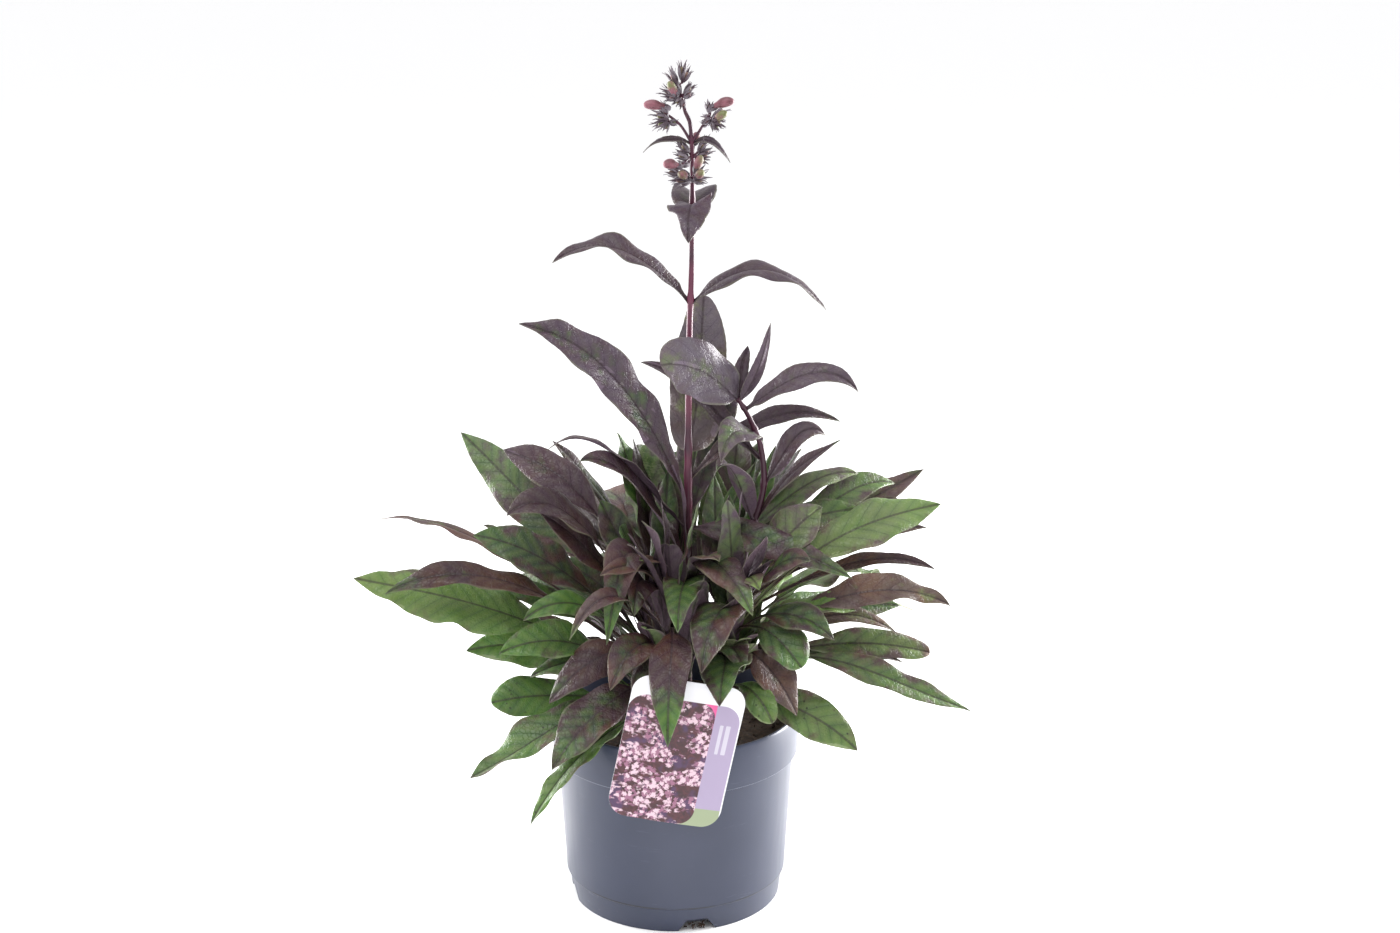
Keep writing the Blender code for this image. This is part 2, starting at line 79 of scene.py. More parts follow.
# Soil and crown
SOIL_EDGE = 134.0
SOIL_MIDDLE = 138.0
SOIL_GAP = 0.4
CROWN_MIDDLE = Vector((8.0, 0.0, 0.0))
CROWN_RADIUS = 38.0
CROWN_TOP = 150.0
NOTCH_CRUMBS = 34

# Clip-on picture label
LABEL_WIDTH = 84.0
LABEL_HEIGHT = 111.0
LABEL_BELOW_RIM = 54.0
LABEL_CORNER = 14.0
LABEL_THICK = 0.7
LABEL_LEAN = 12.0
LABEL_TURN = 6.0
LABEL_BEND = 2.2  # how far its sides stand back from its middle
LABEL_KICK = 1.2  # how far its lower edge stands out from the pot
LABEL_FACET = 5.0
PRINT_TOP = 42.0
STRIP_START = 22.0
PRINT_FOOT = 14.0
BARS = ((27.0, 29.6), (31.6, 35.0))  # plain bars where a name and small print would stand
BAR_ENDS = (4.0, 27.0)
HOOK_WIDTH = 22.0
HOOK_BOTTOM = -11.5

# Leaves
LEAF_LENGTHWISE = 54
LEAF_CROSSWISE = 14
LEAF_FOLD = 16.0
STALK_HALF_WIDTH = 2.2
TIP_HALF_WIDTH = 0.25
USUAL_WIDTH = 36.0  # ripples and quilting grow with a blade's width, from this one
HIGH_TIP = 380.0  # leaves that end above it stay purple to their tips
TOOTH_DEPTH = 0.35
QUILT_DEPTH = 0.17
RIB_DEPTH = 0.5
RIB_HALF_WIDTH = 1.3
VEIN_LEAN = 1.1  # how far a side vein runs forwards for each millimetre outwards
# What a leaf's vertices carry: how many side veins along it they are, their distance out from the midrib
# and in from the margin in millimetres, and their blush and lightness.
LEAF_LAYERS = ("along", "across", "margin", "blush", "tone")

# Studio, in metres and degrees
FLOOR_HALF_WIDTH = 30.0
LIGHTS_AIM = Vector((0, 0, 0.25))
CAMERA_PLACE = (0.019, -1.7044, 0.8659)
CAMERA_TILT = 72.9
CAMERA_LENS = 61.71
CAMERA_SENSOR = 36.0

# Axis points of each shoot, from the crown upwards, and the radius at its foot and its top.
Shoot = namedtuple("Shoot", "points foot_radius top_radius")
SHOOTS = {
    "main": Shoot(
        ((10, 0, 150.6), (10, 0, 300), (11, 0, 430), (13, 0, 500), (13, 0, 585), (8, 0, 607), (5, 0, 620)),
        3.0,
        1.0,
    ),
    "second": Shoot(
        (
            (25, -1, 149.5),
            (34, -2, 190),
            (46, -3, 245),
            (57, -4, 292),
            (66, -5, 326),
            (64, -6, 358),
            (56, -7, 380),
            (47, -8, 396),
        ),
        3.0,
        1.8,
    ),
    "left": Shoot(((-14, -4, 138), (-20, -10, 262)), 3.4, 2.6),
    "front": Shoot(((0, -20, 138), (-2, -30, 238)), 3.4, 2.6),
    "right": Shoot(((30, -22, 138), (44, -28, 244)), 3.4, 2.6),
    "back": Shoot(((2, 20, 138), (-4, 30, 240)), 3.4, 2.6),
    "back_right": Shoot(((28, 18, 138), (37, 30, 235)), 3.4, 2.6),
}
BACK_SHOOTS = ("back", "back_right")
CROWN_SHOOTS = ("left", "front", "right", *BACK_SHOOTS)
BRANCHES = (
    ((13, 0, 583), (5, -1, 596), (-5, -1, 604)),
    ((13, 0, 583), (20, -1, 594), (26, -1, 604)),
)

# How a blade fills out along its length: the share that is bare stalk, and the powers that put the
# widest place near (rise / (rise + fall)) of the blade and make its end pointed or round.
Kind = namedtuple("Kind", "stalk rise fall")
KINDS = {
    "lance": Kind(0.34, 0.85, 0.95),
    "spoon": Kind(0.36, 0.90, 0.50),
    "stem": Kind(0.06, 0.60, 0.90),
    "ovate": Kind(0.02, 0.42, 0.85),
    "round": Kind(0.03, 0.48, 0.45),
}

# A leaf grows from a shoot at some height and ends at tip. Its midrib stands bow above the straight
# line between them, hook more than that near the tip and hook less near the shoot. roll turns the
# blade about its midrib, and blush runs from green (0) to purple (1).
Leaf = namedtuple("Leaf", "name shoot height tip width kind bow hook roll blush", defaults=(0, 0, 0, 0.5))
LEAVES = (
    Leaf("leaf_left_1", "left", 168, (-236, -40, 268), 46, "lance", bow=15, hook=-6, roll=-45, blush=0.05),
    Leaf("leaf_left_2", "left", 180, (-210, -62, 264), 26, "lance", bow=38, hook=6, roll=-30, blush=0.85),
    Leaf("leaf_left_3", "left", 190, (-234, 68, 278), 18, "lance", bow=25, hook=12, blush=0.6),
    Leaf("leaf_left_4", "left", 200, (-148, -30, 298), 36, "lance", bow=17, roll=-40, blush=0.35),
    Leaf("leaf_left_5", "left", 222, (-166, 76, 346), 38, "lance", bow=2, roll=-60, blush=0.3),
    Leaf("leaf_left_6", "left", 234, (-130, 36, 344), 32, "lance", bow=30, hook=-10, roll=-55, blush=0.9),
    Leaf("leaf_left_7", "left", 212, (-121, -56, 322), 30, "lance", bow=42, hook=4, roll=-30, blush=1.0),
    Leaf("leaf_left_8", "left", 158, (-129, -54, 214), 34, "lance", bow=26, roll=-40, blush=0.05),
    Leaf("leaf_left_9", "left", 148, (-136, -52, 174), 34, "spoon", bow=10, roll=-50, blush=0.0),
    Leaf("leaf_front_1", "front", 198, (-92, -71, 182), 34, "lance", bow=22, roll=-35, blush=0.85),
    Leaf("leaf_front_2", "front", 176, (-148, -106, 138), 40, "lance", bow=10, hook=-8, roll=-15, blush=0.2),
    Leaf("leaf_front_3", "front", 188, (-88, -114, 148), 38, "lance", bow=16, roll=-30, blush=0.5),
    Leaf("leaf_front_4", "front", 164, (-104, -122, 108), 26, "lance", bow=21, hook=8, roll=-5, blush=0.05),
    Leaf("leaf_front_5", "front", 226, (-4, -128, 172), 34, "lance", bow=32, hook=8, blush=0.9),
    Leaf("leaf_front_6", "right", 240, (20, -104, 219), 42, "ovate", bow=20, blush=0.45),
    Leaf("leaf_front_7", "main", 264, (57, -86, 256), 32, "stem", bow=20, roll=10, blush=0.5),
    Leaf("leaf_front_8", "main", 294, (130, -50, 272), 28, "stem", bow=9, roll=40, blush=0.45),
    Leaf("leaf_front_9", "main", 250, (3, -96, 247), 32, "stem", bow=16, blush=0.2),
    Leaf("leaf_front_10", "left", 262, (-49, -72, 228), 30, "stem", bow=40, hook=6, roll=-30, blush=0.7),
    Leaf("leaf_front_11", "right", 200, (33, -110, 196), 42, "stem", bow=14, blush=0.3),
    Leaf("leaf_front_12", "right", 172, (136, -64, 141), 36, "lance", bow=14, roll=45, blush=0.15),
    Leaf("leaf_front_13", "right", 222, (93, -72, 210), 36, "spoon", bow=14, roll=35, blush=0.25),
    Leaf("leaf_right_1", "right", 182, (222, -46, 165), 24, "lance", bow=24, hook=-13, roll=35, blush=0.3),
    Leaf("leaf_right_2", "right", 195, (193, -12, 198), 28, "spoon", bow=10, hook=4, roll=40, blush=0.3),
    Leaf("leaf_right_3", "right", 207, (204, -44, 248), 30, "lance", bow=24, hook=10, roll=35, blush=0.75),
    Leaf("leaf_right_4", "right", 220, (201, 20, 306), 40, "lance", bow=24, hook=-8, roll=50, blush=0.15),
    Leaf("leaf_right_5", "back_right", 215, (194, 90, 312), 26, "lance", bow=14, hook=-8, roll=40, blush=0.5),
    Leaf("leaf_right_6", "second", 222, (169, 60, 310), 26, "lance", bow=26, hook=10, roll=45, blush=0.2),
    Leaf("leaf_right_7", "main", 244, (140, 46, 322), 22, "lance", bow=20, hook=12, roll=35, blush=0.25),
    Leaf("leaf_second_1", "second", 396, (-9, -30, 427), 46, "round", bow=9, hook=2, roll=-62, blush=0.6),
    Leaf("leaf_second_2", "second", 395, (70, -14, 455), 14, "stem", bow=-10, roll=-40, blush=0.95),
    Leaf("leaf_second_3", "second", 372, (34, -48, 360), 32, "ovate", bow=12, hook=10, roll=-20, blush=0.5),
    Leaf("leaf_second_4", "second", 388, (135, -14, 403), 24, "stem", bow=20, hook=10, roll=35, blush=0.6),
    Leaf("leaf_second_5", "main", 332, (124, 24, 370), 17, "stem", bow=22, hook=2, roll=40, blush=1.0),
    Leaf("leaf_second_6", "second", 330, (112, 0, 366), 20, "stem", bow=15, hook=6, roll=40, blush=0.7),
    Leaf("leaf_second_7", "second", 300, (122, -20, 369), 15, "stem", bow=8, hook=-4, roll=30, blush=0.9),
    Leaf("leaf_stem_1", "main", 292, (-94, -12, 358), 22, "stem", bow=26, hook=14, roll=20, blush=0.9),
    Leaf("leaf_stem_2", "main", 312, (-112, -12, 454), 36, "stem", bow=38, hook=-12, roll=-50, blush=0.6),
    Leaf("leaf_stem_3", "main", 352, (22, 52, 460), 44, "round", bow=-16, roll=10, blush=0.6),
    Leaf("leaf_stem_4", "main", 466, (-88, -2, 497), 28, "stem", bow=24, hook=2, roll=-20, blush=0.9),
    Leaf("leaf_stem_5", "main", 466, (111, -2, 462), 28, "stem", bow=27, hook=2, roll=15, blush=0.8),
    Leaf("leaf_stem_6", "main", 538, (11, -62, 524), 34, "ovate", bow=10, blush=0.8),
    Leaf("leaf_stem_7", "main", 536, (13, 58, 532), 36, "ovate", bow=8, blush=0.8),
    Leaf("leaf_back_1", "back", 165, (-150, 110, 200), 40, "lance", bow=25, blush=0.2),
    Leaf("leaf_back_2", "back", 175, (-80, 165, 210), 42, "lance", bow=30, blush=0.4),
    Leaf("leaf_back_3", "back", 185, (-10, 190, 215), 44, "lance", bow=32, blush=0.2),
    Leaf("leaf_back_4", "back_right", 170, (90, 170, 205), 42, "lance", bow=28, blush=0.5),
    Leaf("leaf_back_5", "back_right", 180, (165, 115, 215), 42, "lance", bow=26, blush=0.2),
    Leaf("leaf_back_6", "back", 200, (-108, 104, 300), 36, "lance", bow=22, blush=0.6),
    Leaf("leaf_back_7", "back", 212, (-35, 140, 275), 38, "lance", bow=24, blush=0.3),
    Leaf("leaf_back_8", "back_right", 205, (78, 128, 300), 38, "lance", bow=24, blush=0.6),
)

# More leaves, which only the finished plant has: shoot, height, tip, width, kind, bow, hook, roll, blush.
FILLING = (
    ("left", 150, (-158, -10, 199), 34, "lance", 22, 0, -40, 0.02),
    ("back", 205, (-29, 60, 341), 44, "spoon", 6, 0, -75, 0.15),
    ("main", 268, (-69, -26, 354), 26, "stem", 20, 10, -20, 0.8),
    ("left", 205, (-97, -40, 318), 28, "lance", 16, 0, -50, 0.95),
    ("left", 165, (-160, 34, 178), 22, "lance", 34, 10, -30, 0.7),
    ("left", 196, (-144, 10, 293), 24, "lance", 14, 0, -20, 0.35),
    ("left", 175, (-147, 0, 247), 22, "lance", 22, 0, -30, 0.1),
    ("left", 185, (-109, -75, 248), 22, "lance", 30, 0, -40, 0.1),
    ("front", 215, (-75, -90, 239), 16, "lance", 34, 10, -30, 0.85),
    ("front", 165, (-107, -50, 194), 30, "lance", 20, 0, -30, 0.2),
    ("left", 240, (-29, -60, 246), 34, "stem", 22, 0, -30, 0.75),
    ("front", 235, (-33, -70, 305), 20, "ovate", 10, 0, -20, 0.8),
    ("front", 238, (-23, -50, 316), 22, "stem", 12, 0, -30, 0.7),
    ("right", 200, (50, -80, 210), 26, "stem", 14, 0, 10, 0.3),
    ("right", 170, (72, -80, 170), 22, "spoon", 18, 0, 30, 0.1),
    ("right", 205, (91, -60, 167), 32, "lance", 20, 0, 20, 0.85),
    ("right", 185, (173, -10, 190), 20, "lance", 14, 0, 35, 0.3),
    ("right", 190, (167, -30, 220), 20, "lance", 26, 6, 30, 0.5),
    ("right", 200, (134, -40, 243), 26, "lance", 18, 0, 30, 0.1),
    ("right", 205, (172, 20, 224), 28, "lance", 14, 0, 40, 0.2),
    ("back_right", 215, (195, 60, 274), 16, "lance", 14, 6, 30, 0.7),
    ("back_right", 205, (200, 30, 250), 14, "lance", 24, 8, 30, 0.8),
    ("right", 230, (109, -20, 317), 36, "lance", 12, 0, 45, 0.45),
    ("main", 250, (142, 30, 299), 28, "lance", 12, 0, 45, 0.25),
    ("main", 300, (51, 40, 411), 20, "stem", 4, 0, 40, 0.4),
    ("second", 300, (31, -46, 353), 24, "stem", 16, 6, 0, 0.6),
    ("main", 255, (61, 26, 337), 18, "lance", -6, 0, 80, 0.0),
    ("back_right", 225, (76, 30, 349), 18, "lance", -4, 0, 70, 0.0),
    ("main", 262, (4, -14, 340), 18, "stem", 6, 0, -60, 0.95),
    ("front", 236, (-9, -36, 327), 22, "stem", 6, 0, -50, 0.9),
    ("second", 215, (50, -26, 333), 18, "stem", 4, 0, 50, 0.95),
    ("front", 232, (19, -50, 332), 26, "stem", 6, 0, 30, 0.25),
    ("right", 240, (39, -50, 332), 24, "stem", 8, 0, 40, 0.3),
    ("back", 225, (21, 55, 376), 30, "spoon", -4, 0, 10, 0.35),
    ("second", 350, (-25, 26, 415), 15, "stem", 10, 6, -50, 0.95),
    ("back", 168, (2, 58, 336), 36, "spoon", 2, 6, 15, 0.3),
    ("main", 190, (-34, -30, 300), 24, "lance", 2, 6, -20, 0.9),
    ("front", 170, (20, -62, 268), 30, "lance", 4, 8, 10, 0.7),
    ("right", 178, (30, 18, 330), 26, "lance", 0, 4, 20, 0.4),
    ("front", 160, (-20, -66, 238), 28, "lance", 8, 8, -10, 0.45),
    ("main", 172, (22, -48, 216), 26, "lance", 10, 8, 10, 0.3),
    ("back", 175, (-32, 44, 352), 26, "lance", 0, 4, -10, 0.6),
    ("back_right", 170, (30, 34, 331), 34, "lance", 0, 4, 10, 0.3),
    ("right", 172, (41, 2, 319), 28, "lance", 0, 4, 15, 0.25),
    ("front", 178, (22, -55, 272), 28, "lance", 2, 8, -10, 0.3),
    ("back_right", 165, (55, 14, 296), 30, "spoon", 0, 4, 30, 0.2),
    ("back", 168, (11, 42, 300), 34, "lance", 0, 6, -10, 0.4),
    ("left", 190, (-5, 20, 333), 24, "lance", 0, 2, 20, 0.3),
    ("front", 175, (-14, -34, 279), 26, "lance", 0, 4, 0, 0.8),
    ("right", 160, (28, -52, 243), 30, "lance", 4, 6, 0, 0.4),
    ("right", 162, (46, -50, 245), 30, "lance", 4, 6, 20, 0.9),
    ("front", 160, (-25, -58, 241), 28, "lance", 4, 6, -20, 0.9),
    ("right", 158, (66, -20, 243), 28, "lance", 4, 4, 30, 0.2),
    ("second", 395, (54, 0, 434), 12, "ovate", 4, 0, 30, 0.8),
    ("main", 225, (-53, -70, 281), 24, "stem", 20, 0, -30, 0.7),
    ("right", 225, (98, -75, 294), 24, "lance", 18, 0, 30, 0.4),
    ("right", 215, (117, -70, 231), 26, "lance", 22, 0, 30, 0.3),
    ("front", 200, (-46, -90, 200), 30, "lance", 24, 0, -25, 0.5),
    ("front", 190, (-25, -95, 178), 26, "lance", 24, 4, -10, 0.4),
    ("left", 190, (-87, 10, 264), 26, "lance", 14, 0, -40, 0.3),
    ("left", 225, (-56, 10, 312), 24, "lance", 10, 0, -60, 0.4),
    ("main", 225, (-25, -50, 286), 26, "stem", 14, 0, -20, 0.9),
    ("main", 240, (33, -66, 291), 26, "stem", 14, 0, 10, 0.5),
    ("right", 235, (62, -70, 270), 28, "stem", 18, 0, 20, 0.4),
    ("main", 583, (-22, -2, 577), 6, "stem", 7, 0, -30, 0.9),
    ("main", 583, (41, -4, 570), 7, "stem", 8, 2, 30, 0.9),
)

# How light the leaves of each group look, from -1 to 1, where that is plain to see. This is partly their own
# colour and partly painted light and shade, so the right-hand leaves stand lighter.
GROUP_TONES = {
    "leaf_left": (0.15, -0.7, 0.1, -0.6, 0.1, -0.4, -0.9, 0.0, -0.1),
    "leaf_front": (-0.4, -0.1, -0.6, 0.2, -0.6, -0.5, -0.1, -0.1, -0.7, -0.1, -0.6, 0.2, -0.3),
    "leaf_right": (0.3, 0.2, 0.5, 0.7, 0.3, 0.3, 0.1),
    "leaf_second": (0.5, -0.9, 0.3, -0.1, -0.5, 0.1, -0.6),
    "leaf_stem": (-0.5, -0.1, 1.2, -0.5, -0.4, -0.1, -0.3),
}
TONES = {
    f"{group}_{number}": tone for group, tones in GROUP_TONES.items() for number, tone in enumerate(tones, 1)
}
# How crinkled a leaf is, where it isn't 1, and how fully its tip loses its blush, where that is plain to see.
CRINKLES = {
    "leaf_stem_3": 2.4,
    "leaf_stem_6": 1.6,
    "leaf_stem_7": 1.6,
    "leaf_second_3": 1.6,
    "leaf_front_5": 1.7,
    "leaf_front_12": 1.4,
    "leaf_right_2": 1.5,
    "leaf_right_3": 1.4,
    "leaf_left_1": 1.3,
}
GREEN_TIPS = {"leaf_front_5": 1.6, "leaf_front_10": 1.4, "leaf_front_4": 1.2, "leaf_right_4": 1.2}

# Leaves that need no row of their own stand in tiers: how many, the shoots they grow from, the turns
# between which they point, and the ranges of their feet, reach and tip heights.
Tier = namedtuple("Tier", "count shoots turns feet reach tips width blushes")
TIERS = (
    Tier(12, BACK_SHOOTS, (22, 168), (150, 190), (125, 170), (165, 225), 36, (0.05, 0.2, 0.4, 0.7)),
    Tier(12, BACK_SHOOTS, (12, 168), (190, 225), (95, 150), (240, 305), 32, (0.15, 0.3, 0.6, 0.9)),
    Tier(9, BACK_SHOOTS, (12, 168), (205, 238), (35, 85), (310, 362), 28, (0.05, 0.3, 0.45, 0.9)),
    Tier(18, CROWN_SHOOTS, (0, 360), (146, 175), (28, 62), (188, 236), 30, (0.3, 0.6, 0.9, 1.0)),
    Tier(16, CROWN_SHOOTS, (0, 360), (180, 225), (14, 40), (250, 318), 26, (0.25, 0.5, 0.9, 1.0)),
)
TIER_LIMITS = ((-225, 212), (-84, 184))  # between which their tips stay along X and Y

# The flower head, piece by piece: what it is, its foot and its end.
FLORETS = (
    ("calyx", (6, 0, 628), (6, 0, 643)),
    ("calyx", (7, -2, 627), (12, -5, 638)),
    ("calyx", (3, -2, 624), (-4, -3, 637)),
    ("calyx", (5, 2, 619), (0, 5, 630)),
    ("calyx", (8, -2, 618), (15, -4, 627)),
    ("calyx", (8, -4, 616), (15, -8, 621)),
    ("calyx", (3, -2, 617), (-9, -3, 623)),
    ("green", (3, -4, 616), (-3, -8, 628)),
    ("calyx", (3, -3, 615), (-6, -6, 617)),
    ("calyx", (5, -4, 615), (0, -8, 611)),
    ("calyx", (7, -4, 614), (6, -7, 608)),
    ("calyx", (-4, -4, 606), (-9, -8, 613)),
    ("calyx", (-4, -4, 602), (-16, -9, 604)),
    ("calyx", (-4, -4, 599), (-15, -7, 595)),
    ("calyx", (-4, -2, 601), (-9, -3, 608)),
    ("calyx", (-4, -2, 598), (-7, -5, 591)),
    ("calyx", (-2, -2, 598), (4, -3, 598)),
    ("calyx", (25, -4, 606), (27, -8, 614)),
    ("calyx", (26, -3, 601), (21, -6, 597)),
    ("calyx", (28, -4, 600), (29, -7, 592)),
    ("calyx", (28, -4, 600), (37, -9, 597)),
    ("green", (28, -6, 600), (38, -11, 607)),
    ("calyx", (25, -2, 598), (19, -3, 596)),
    ("calyx", (28, -3, 599), (34, -6, 592)),
    ("calyx", (11, -2, 577), (3, -5, 585)),
    ("calyx", (10, -4, 573), (0, -7, 576)),
    ("calyx", (11, -4, 568), (2, -9, 570)),
    ("calyx", (18, -2, 577), (24, -5, 586)),
    ("calyx", (18, -4, 574), (28, -7, 575)),
    ("calyx", (18, -4, 573), (25, -9, 570)),
    ("green", (15, -6, 563), (20, -12, 576)),
    ("green", (11, -6, 559), (4, -13, 564)),
    ("green", (16, -6, 559), (21, -13, 565)),
    ("calyx", (12, -5, 557), (-4, -10, 557)),
    ("calyx", (13, -4, 557), (0, -7, 553)),
    ("calyx", (14, -5, 557), (24, -10, 556)),
    ("calyx", (3, -4, 561), (-7, -8, 565)),
    ("pink", (15, 3, 581), (17, 6, 590)),
)
# Where the florets join the stem or a branch: the joints nearest each floret's foot.
JOINTS = ((6, 0, 626), (6, 0, 618), (8, 0, 612), (-4, -1, 601), (26, -1, 602), (13, 0, 574), (13, 0, 558))
BUDS = (
    ("bud_left", (-4, -6, 609), (-21, -10, 612), 3.6),
    ("bud_right", (27, -6, 609), (43, -11, 615), 3.6),
    ("bud_low_left", (5, -11, 568), (-7, -17, 571), 3.6),
)


# --- Colours, nodes and meshes ------------------------------------------------------------------


def linear(code):
    """A linear colour with full alpha from an sRGB hex value."""
    channels = [int(code[start : start + 2], 16) / 255 for start in (0, 2, 4)]
    bent = [c / 12.92 if c <= 0.04045 else ((c + 0.055) / 1.055) ** 2.4 for c in channels]
    return (*bent, 1.0)


# A Mix node's inputs 0, 6 and 7 are its share and its two colours, and its output 2 is the mixed colour.
COLOUR_MIX = {"out": 2, "data_type": "RGBA"}
SOFT = {"interpolation_type": "SMOOTHSTEP"}


def plug(tree, node, inputs):
    """Sets a node's inputs, or links them where the value is another node's output."""
    pairs = inputs.items() if isinstance(inputs, dict) else enumerate(inputs)
    for key, value in pairs:
        if isinstance(value, bpy.types.NodeSocket):
            tree.links.new(value, node.inputs[key])
        else:
            node.inputs[key].default_value = value


def add(tree, kind, inputs=(), out=0, **settings):
    """Adds a node with its settings and inputs, and returns one of its outputs."""
    node = tree.nodes.new("ShaderNode" + kind)
    for name, value in settings.items():
        setattr(node, name, value)
    plug(tree, node, inputs)
    return node.outputs[out]


def new_material(name):
    """A material, its node tree and its Principled BSDF."""
    made = bpy.data.materials.new(name)
    made.use_nodes = True
    return made, made.node_tree, made.node_tree.nodes["Principled BSDF"]


def finish(name, bm, materials, slot, nodes=(), *, sharp, recalc=True):
    """Turns a bmesh in millimetres into a piece in metres, with edges of more than sharp degrees kept."""
    if recalc:
        bmesh.ops.recalc_face_normals(bm, faces=bm.faces)
    bmesh.ops.transform(bm, matrix=Matrix.Scale(MM, 4), verts=bm.verts)
    mesh = bpy.data.meshes.new(name)
    bm.to_mesh(mesh)
    bm.free()
    mesh.shade_smooth()
    mesh.set_sharp_from_angle(angle=math.radians(sharp))
    for made in materials:
        mesh.materials.append(made)
    obj = bpy.data.objects.new(name, mesh)
    bpy.context.scene.collection.objects.link(obj)
    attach(obj, BODY)
    if nodes:
        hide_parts(*nodes)
    return obj


def smooth_point(points, share):
    """A point of the smooth line through points, at this share of the way."""
    spot = share * (len(points) - 1)
    index = min(int(spot), len(points) - 2)
    near = [Vector(points[min(max(index + step, 0), len(points) - 1)]) for step in (-1, 0, 1, 2)]
    part = spot - index
    start = (near[2] - near[0]) / 2
    end = (near[3] - near[1]) / 2
    return (
        near[1] * (2 * part**3 - 3 * part**2 + 1)
        + start * (part**3 - 2 * part**2 + part)
        + near[2] * (3 * part**2 - 2 * part**3)
        + end * (part**3 - part**2)
    )


def add_tube(bm, points, radius_at, sides, rings):
    """Adds a closed round tube along a smooth line, with a radius for each share of it."""
    verts = bmesh.ops.create_grid(bm, x_segments=rings, y_segments=sides, size=1)["verts"]
    places = [smooth_point(points, ring / rings) for ring in range(rings + 1)]
    heading = (places[1] - places[0]).normalized()
    turn = Vector((0, 0, 1)).rotation_difference(heading)
    frames = []
    for ring, place in enumerate(places):
        ahead = (places[min(ring + 1, rings)] - places[max(ring - 1, 0)]).normalized()
        turn = heading.rotation_difference(ahead) @ turn
        heading = ahead
        frames.append((place, turn.copy(), radius_at(ring / rings)))
    for vert in verts:
        place, turn, radius = frames[round((vert.co.x + 1) / 2 * rings)]
        angle = math.pi * vert.co.y
        vert.co = place + turn @ Vector((radius * math.cos(angle), radius * math.sin(angle), 0))
    bmesh.ops.remove_doubles(bm, verts=verts, dist=0.0005)
    bmesh.ops.holes_fill(bm, edges=[edge for edge in bm.edges if edge.is_boundary], sides=0)


def shoot_point(points, height):
    """The point of a shoot's axis at this height."""
    for low, high in zip(points, points[1:]):
        if height <= high[2]:
            share = (height - low[2]) / (high[2] - low[2])
            return Vector(low).lerp(Vector(high), max(0.0, share))
    return Vector(points[-1])


# --- Pot ----------------------------------------------------------------------------------------


def turned(profile, segments):
    """A solid of revolution about Z from a closed outline of (radius, height)."""
    bm = bmesh.new()
    verts = [bm.verts.new((radius, 0, height)) for radius, height in profile]
    edges = [bm.edges.new(pair) for pair in zip(verts, verts[1:])]
    if profile[0][0] > 0:
        edges.append(bm.edges.new((verts[-1], verts[0])))
    bmesh.ops.spin(
        bm,
        geom=verts + edges,
        axis=(0, 0, 1),
        cent=(0, 0, 0),
        angle=math.tau,
        steps=segments,
        use_merge=True,
    )
    bmesh.ops.remove_doubles(bm, verts=bm.verts, dist=0.001)
    bmesh.ops.recalc_face_normals(bm, faces=bm.faces)
    return bm


def soften(bm, angle, offset, segments):
    """Rounds every edge whose faces meet at more than this angle in degrees."""
    sharp = [edge for edge in bm.edges if edge.calc_face_angle(0) > math.radians(angle)]
    bmesh.ops.bevel(
        bm,
        geom=sharp,
        offset=offset,
        offset_type="OFFSET",
        segments=segments,
        profile=0.5,
        affect="EDGES",
        material=-1,
        clamp_overlap=True,
    )


def pot_body():
    """The moulded pot: rim band, tapered wall, stepped foot ring and a floor with a raised channel."""
    floor = WALL + CHANNEL_HEIGHT
    outline = (
        (0, 0),
        (PAD_RADIUS, 0),
        (PAD_RADIUS + 5, CHANNEL_HEIGHT),
        (FOOT_RADIUS - WALL - 0.6, CHANNEL_HEIGHT),
        (FOOT_RADIUS - WALL, 0),
        (FOOT_RADIUS, 0),
        (BODY_FOOT_RADIUS - 2, FOOT_STEP_HEIGHT - 1),
        (BODY_FOOT_RADIUS, FOOT_STEP_HEIGHT),
        (BODY_TOP_RADIUS, POT_HEIGHT - RIM_BAND - 1),
        (RIM_RADIUS - 1, POT_HEIGHT - RIM_BAND),
        (RIM_RADIUS, POT_HEIGHT - 2),
        (RIM_RADIUS - 0.7, POT_HEIGHT),
        (RIM_RADIUS - WALL, POT_HEIGHT),
        (RIM_RADIUS - WALL - 0.6, POT_HEIGHT - RIM_BAND + 3),
        (BODY_TOP_RADIUS - WALL, POT_HEIGHT - RIM_BAND - 1),
        (FOOT_RADIUS - 0.5, floor),
        (PAD_RADIUS + 4, floor),
        (PAD_RADIUS - 1, WALL),
        (0, WALL),
    )
    bm = turned(outline, POT_SEGMENTS)
    soften(bm, 24, 0.45, 3)
    return bm


def drain_cutter():
    """Wedges that notch the foot ring and run inwards through the channel's floor as drain slots."""
    bm = bmesh.new()
    for index in range(NOTCHES):
        turn = math.radians(FIRST_NOTCH_TURN + index * 360 / NOTCHES)
        place = Matrix.Rotation(turn, 4, "Z")
        notch = bmesh.ops.create_cube(bm, size=1)["verts"]
        bmesh.ops.scale(bm, vec=NOTCH_SIZE, verts=notch)
        bmesh.ops.scale(bm, vec=(1, NOTCH_TAPER, 1), verts=[v for v in notch if v.co.z > 0])
        bmesh.ops.translate(bm, vec=(FOOT_RADIUS + 0.5, 0, 4.0), verts=notch)
        bmesh.ops.transform(bm, matrix=place, verts=notch)
        slot = bmesh.ops.create_cube(bm, size=1)["verts"]
        bmesh.ops.scale(bm, vec=SLOT_SIZE, verts=slot)
        bmesh.ops.translate(bm, vec=(FOOT_RADIUS - 14, 0, CHANNEL_HEIGHT + 1), verts=slot)
        bmesh.ops.transform(bm, matrix=place, verts=slot)
    soften(bm, 60, 1.2, 3)
    return bm


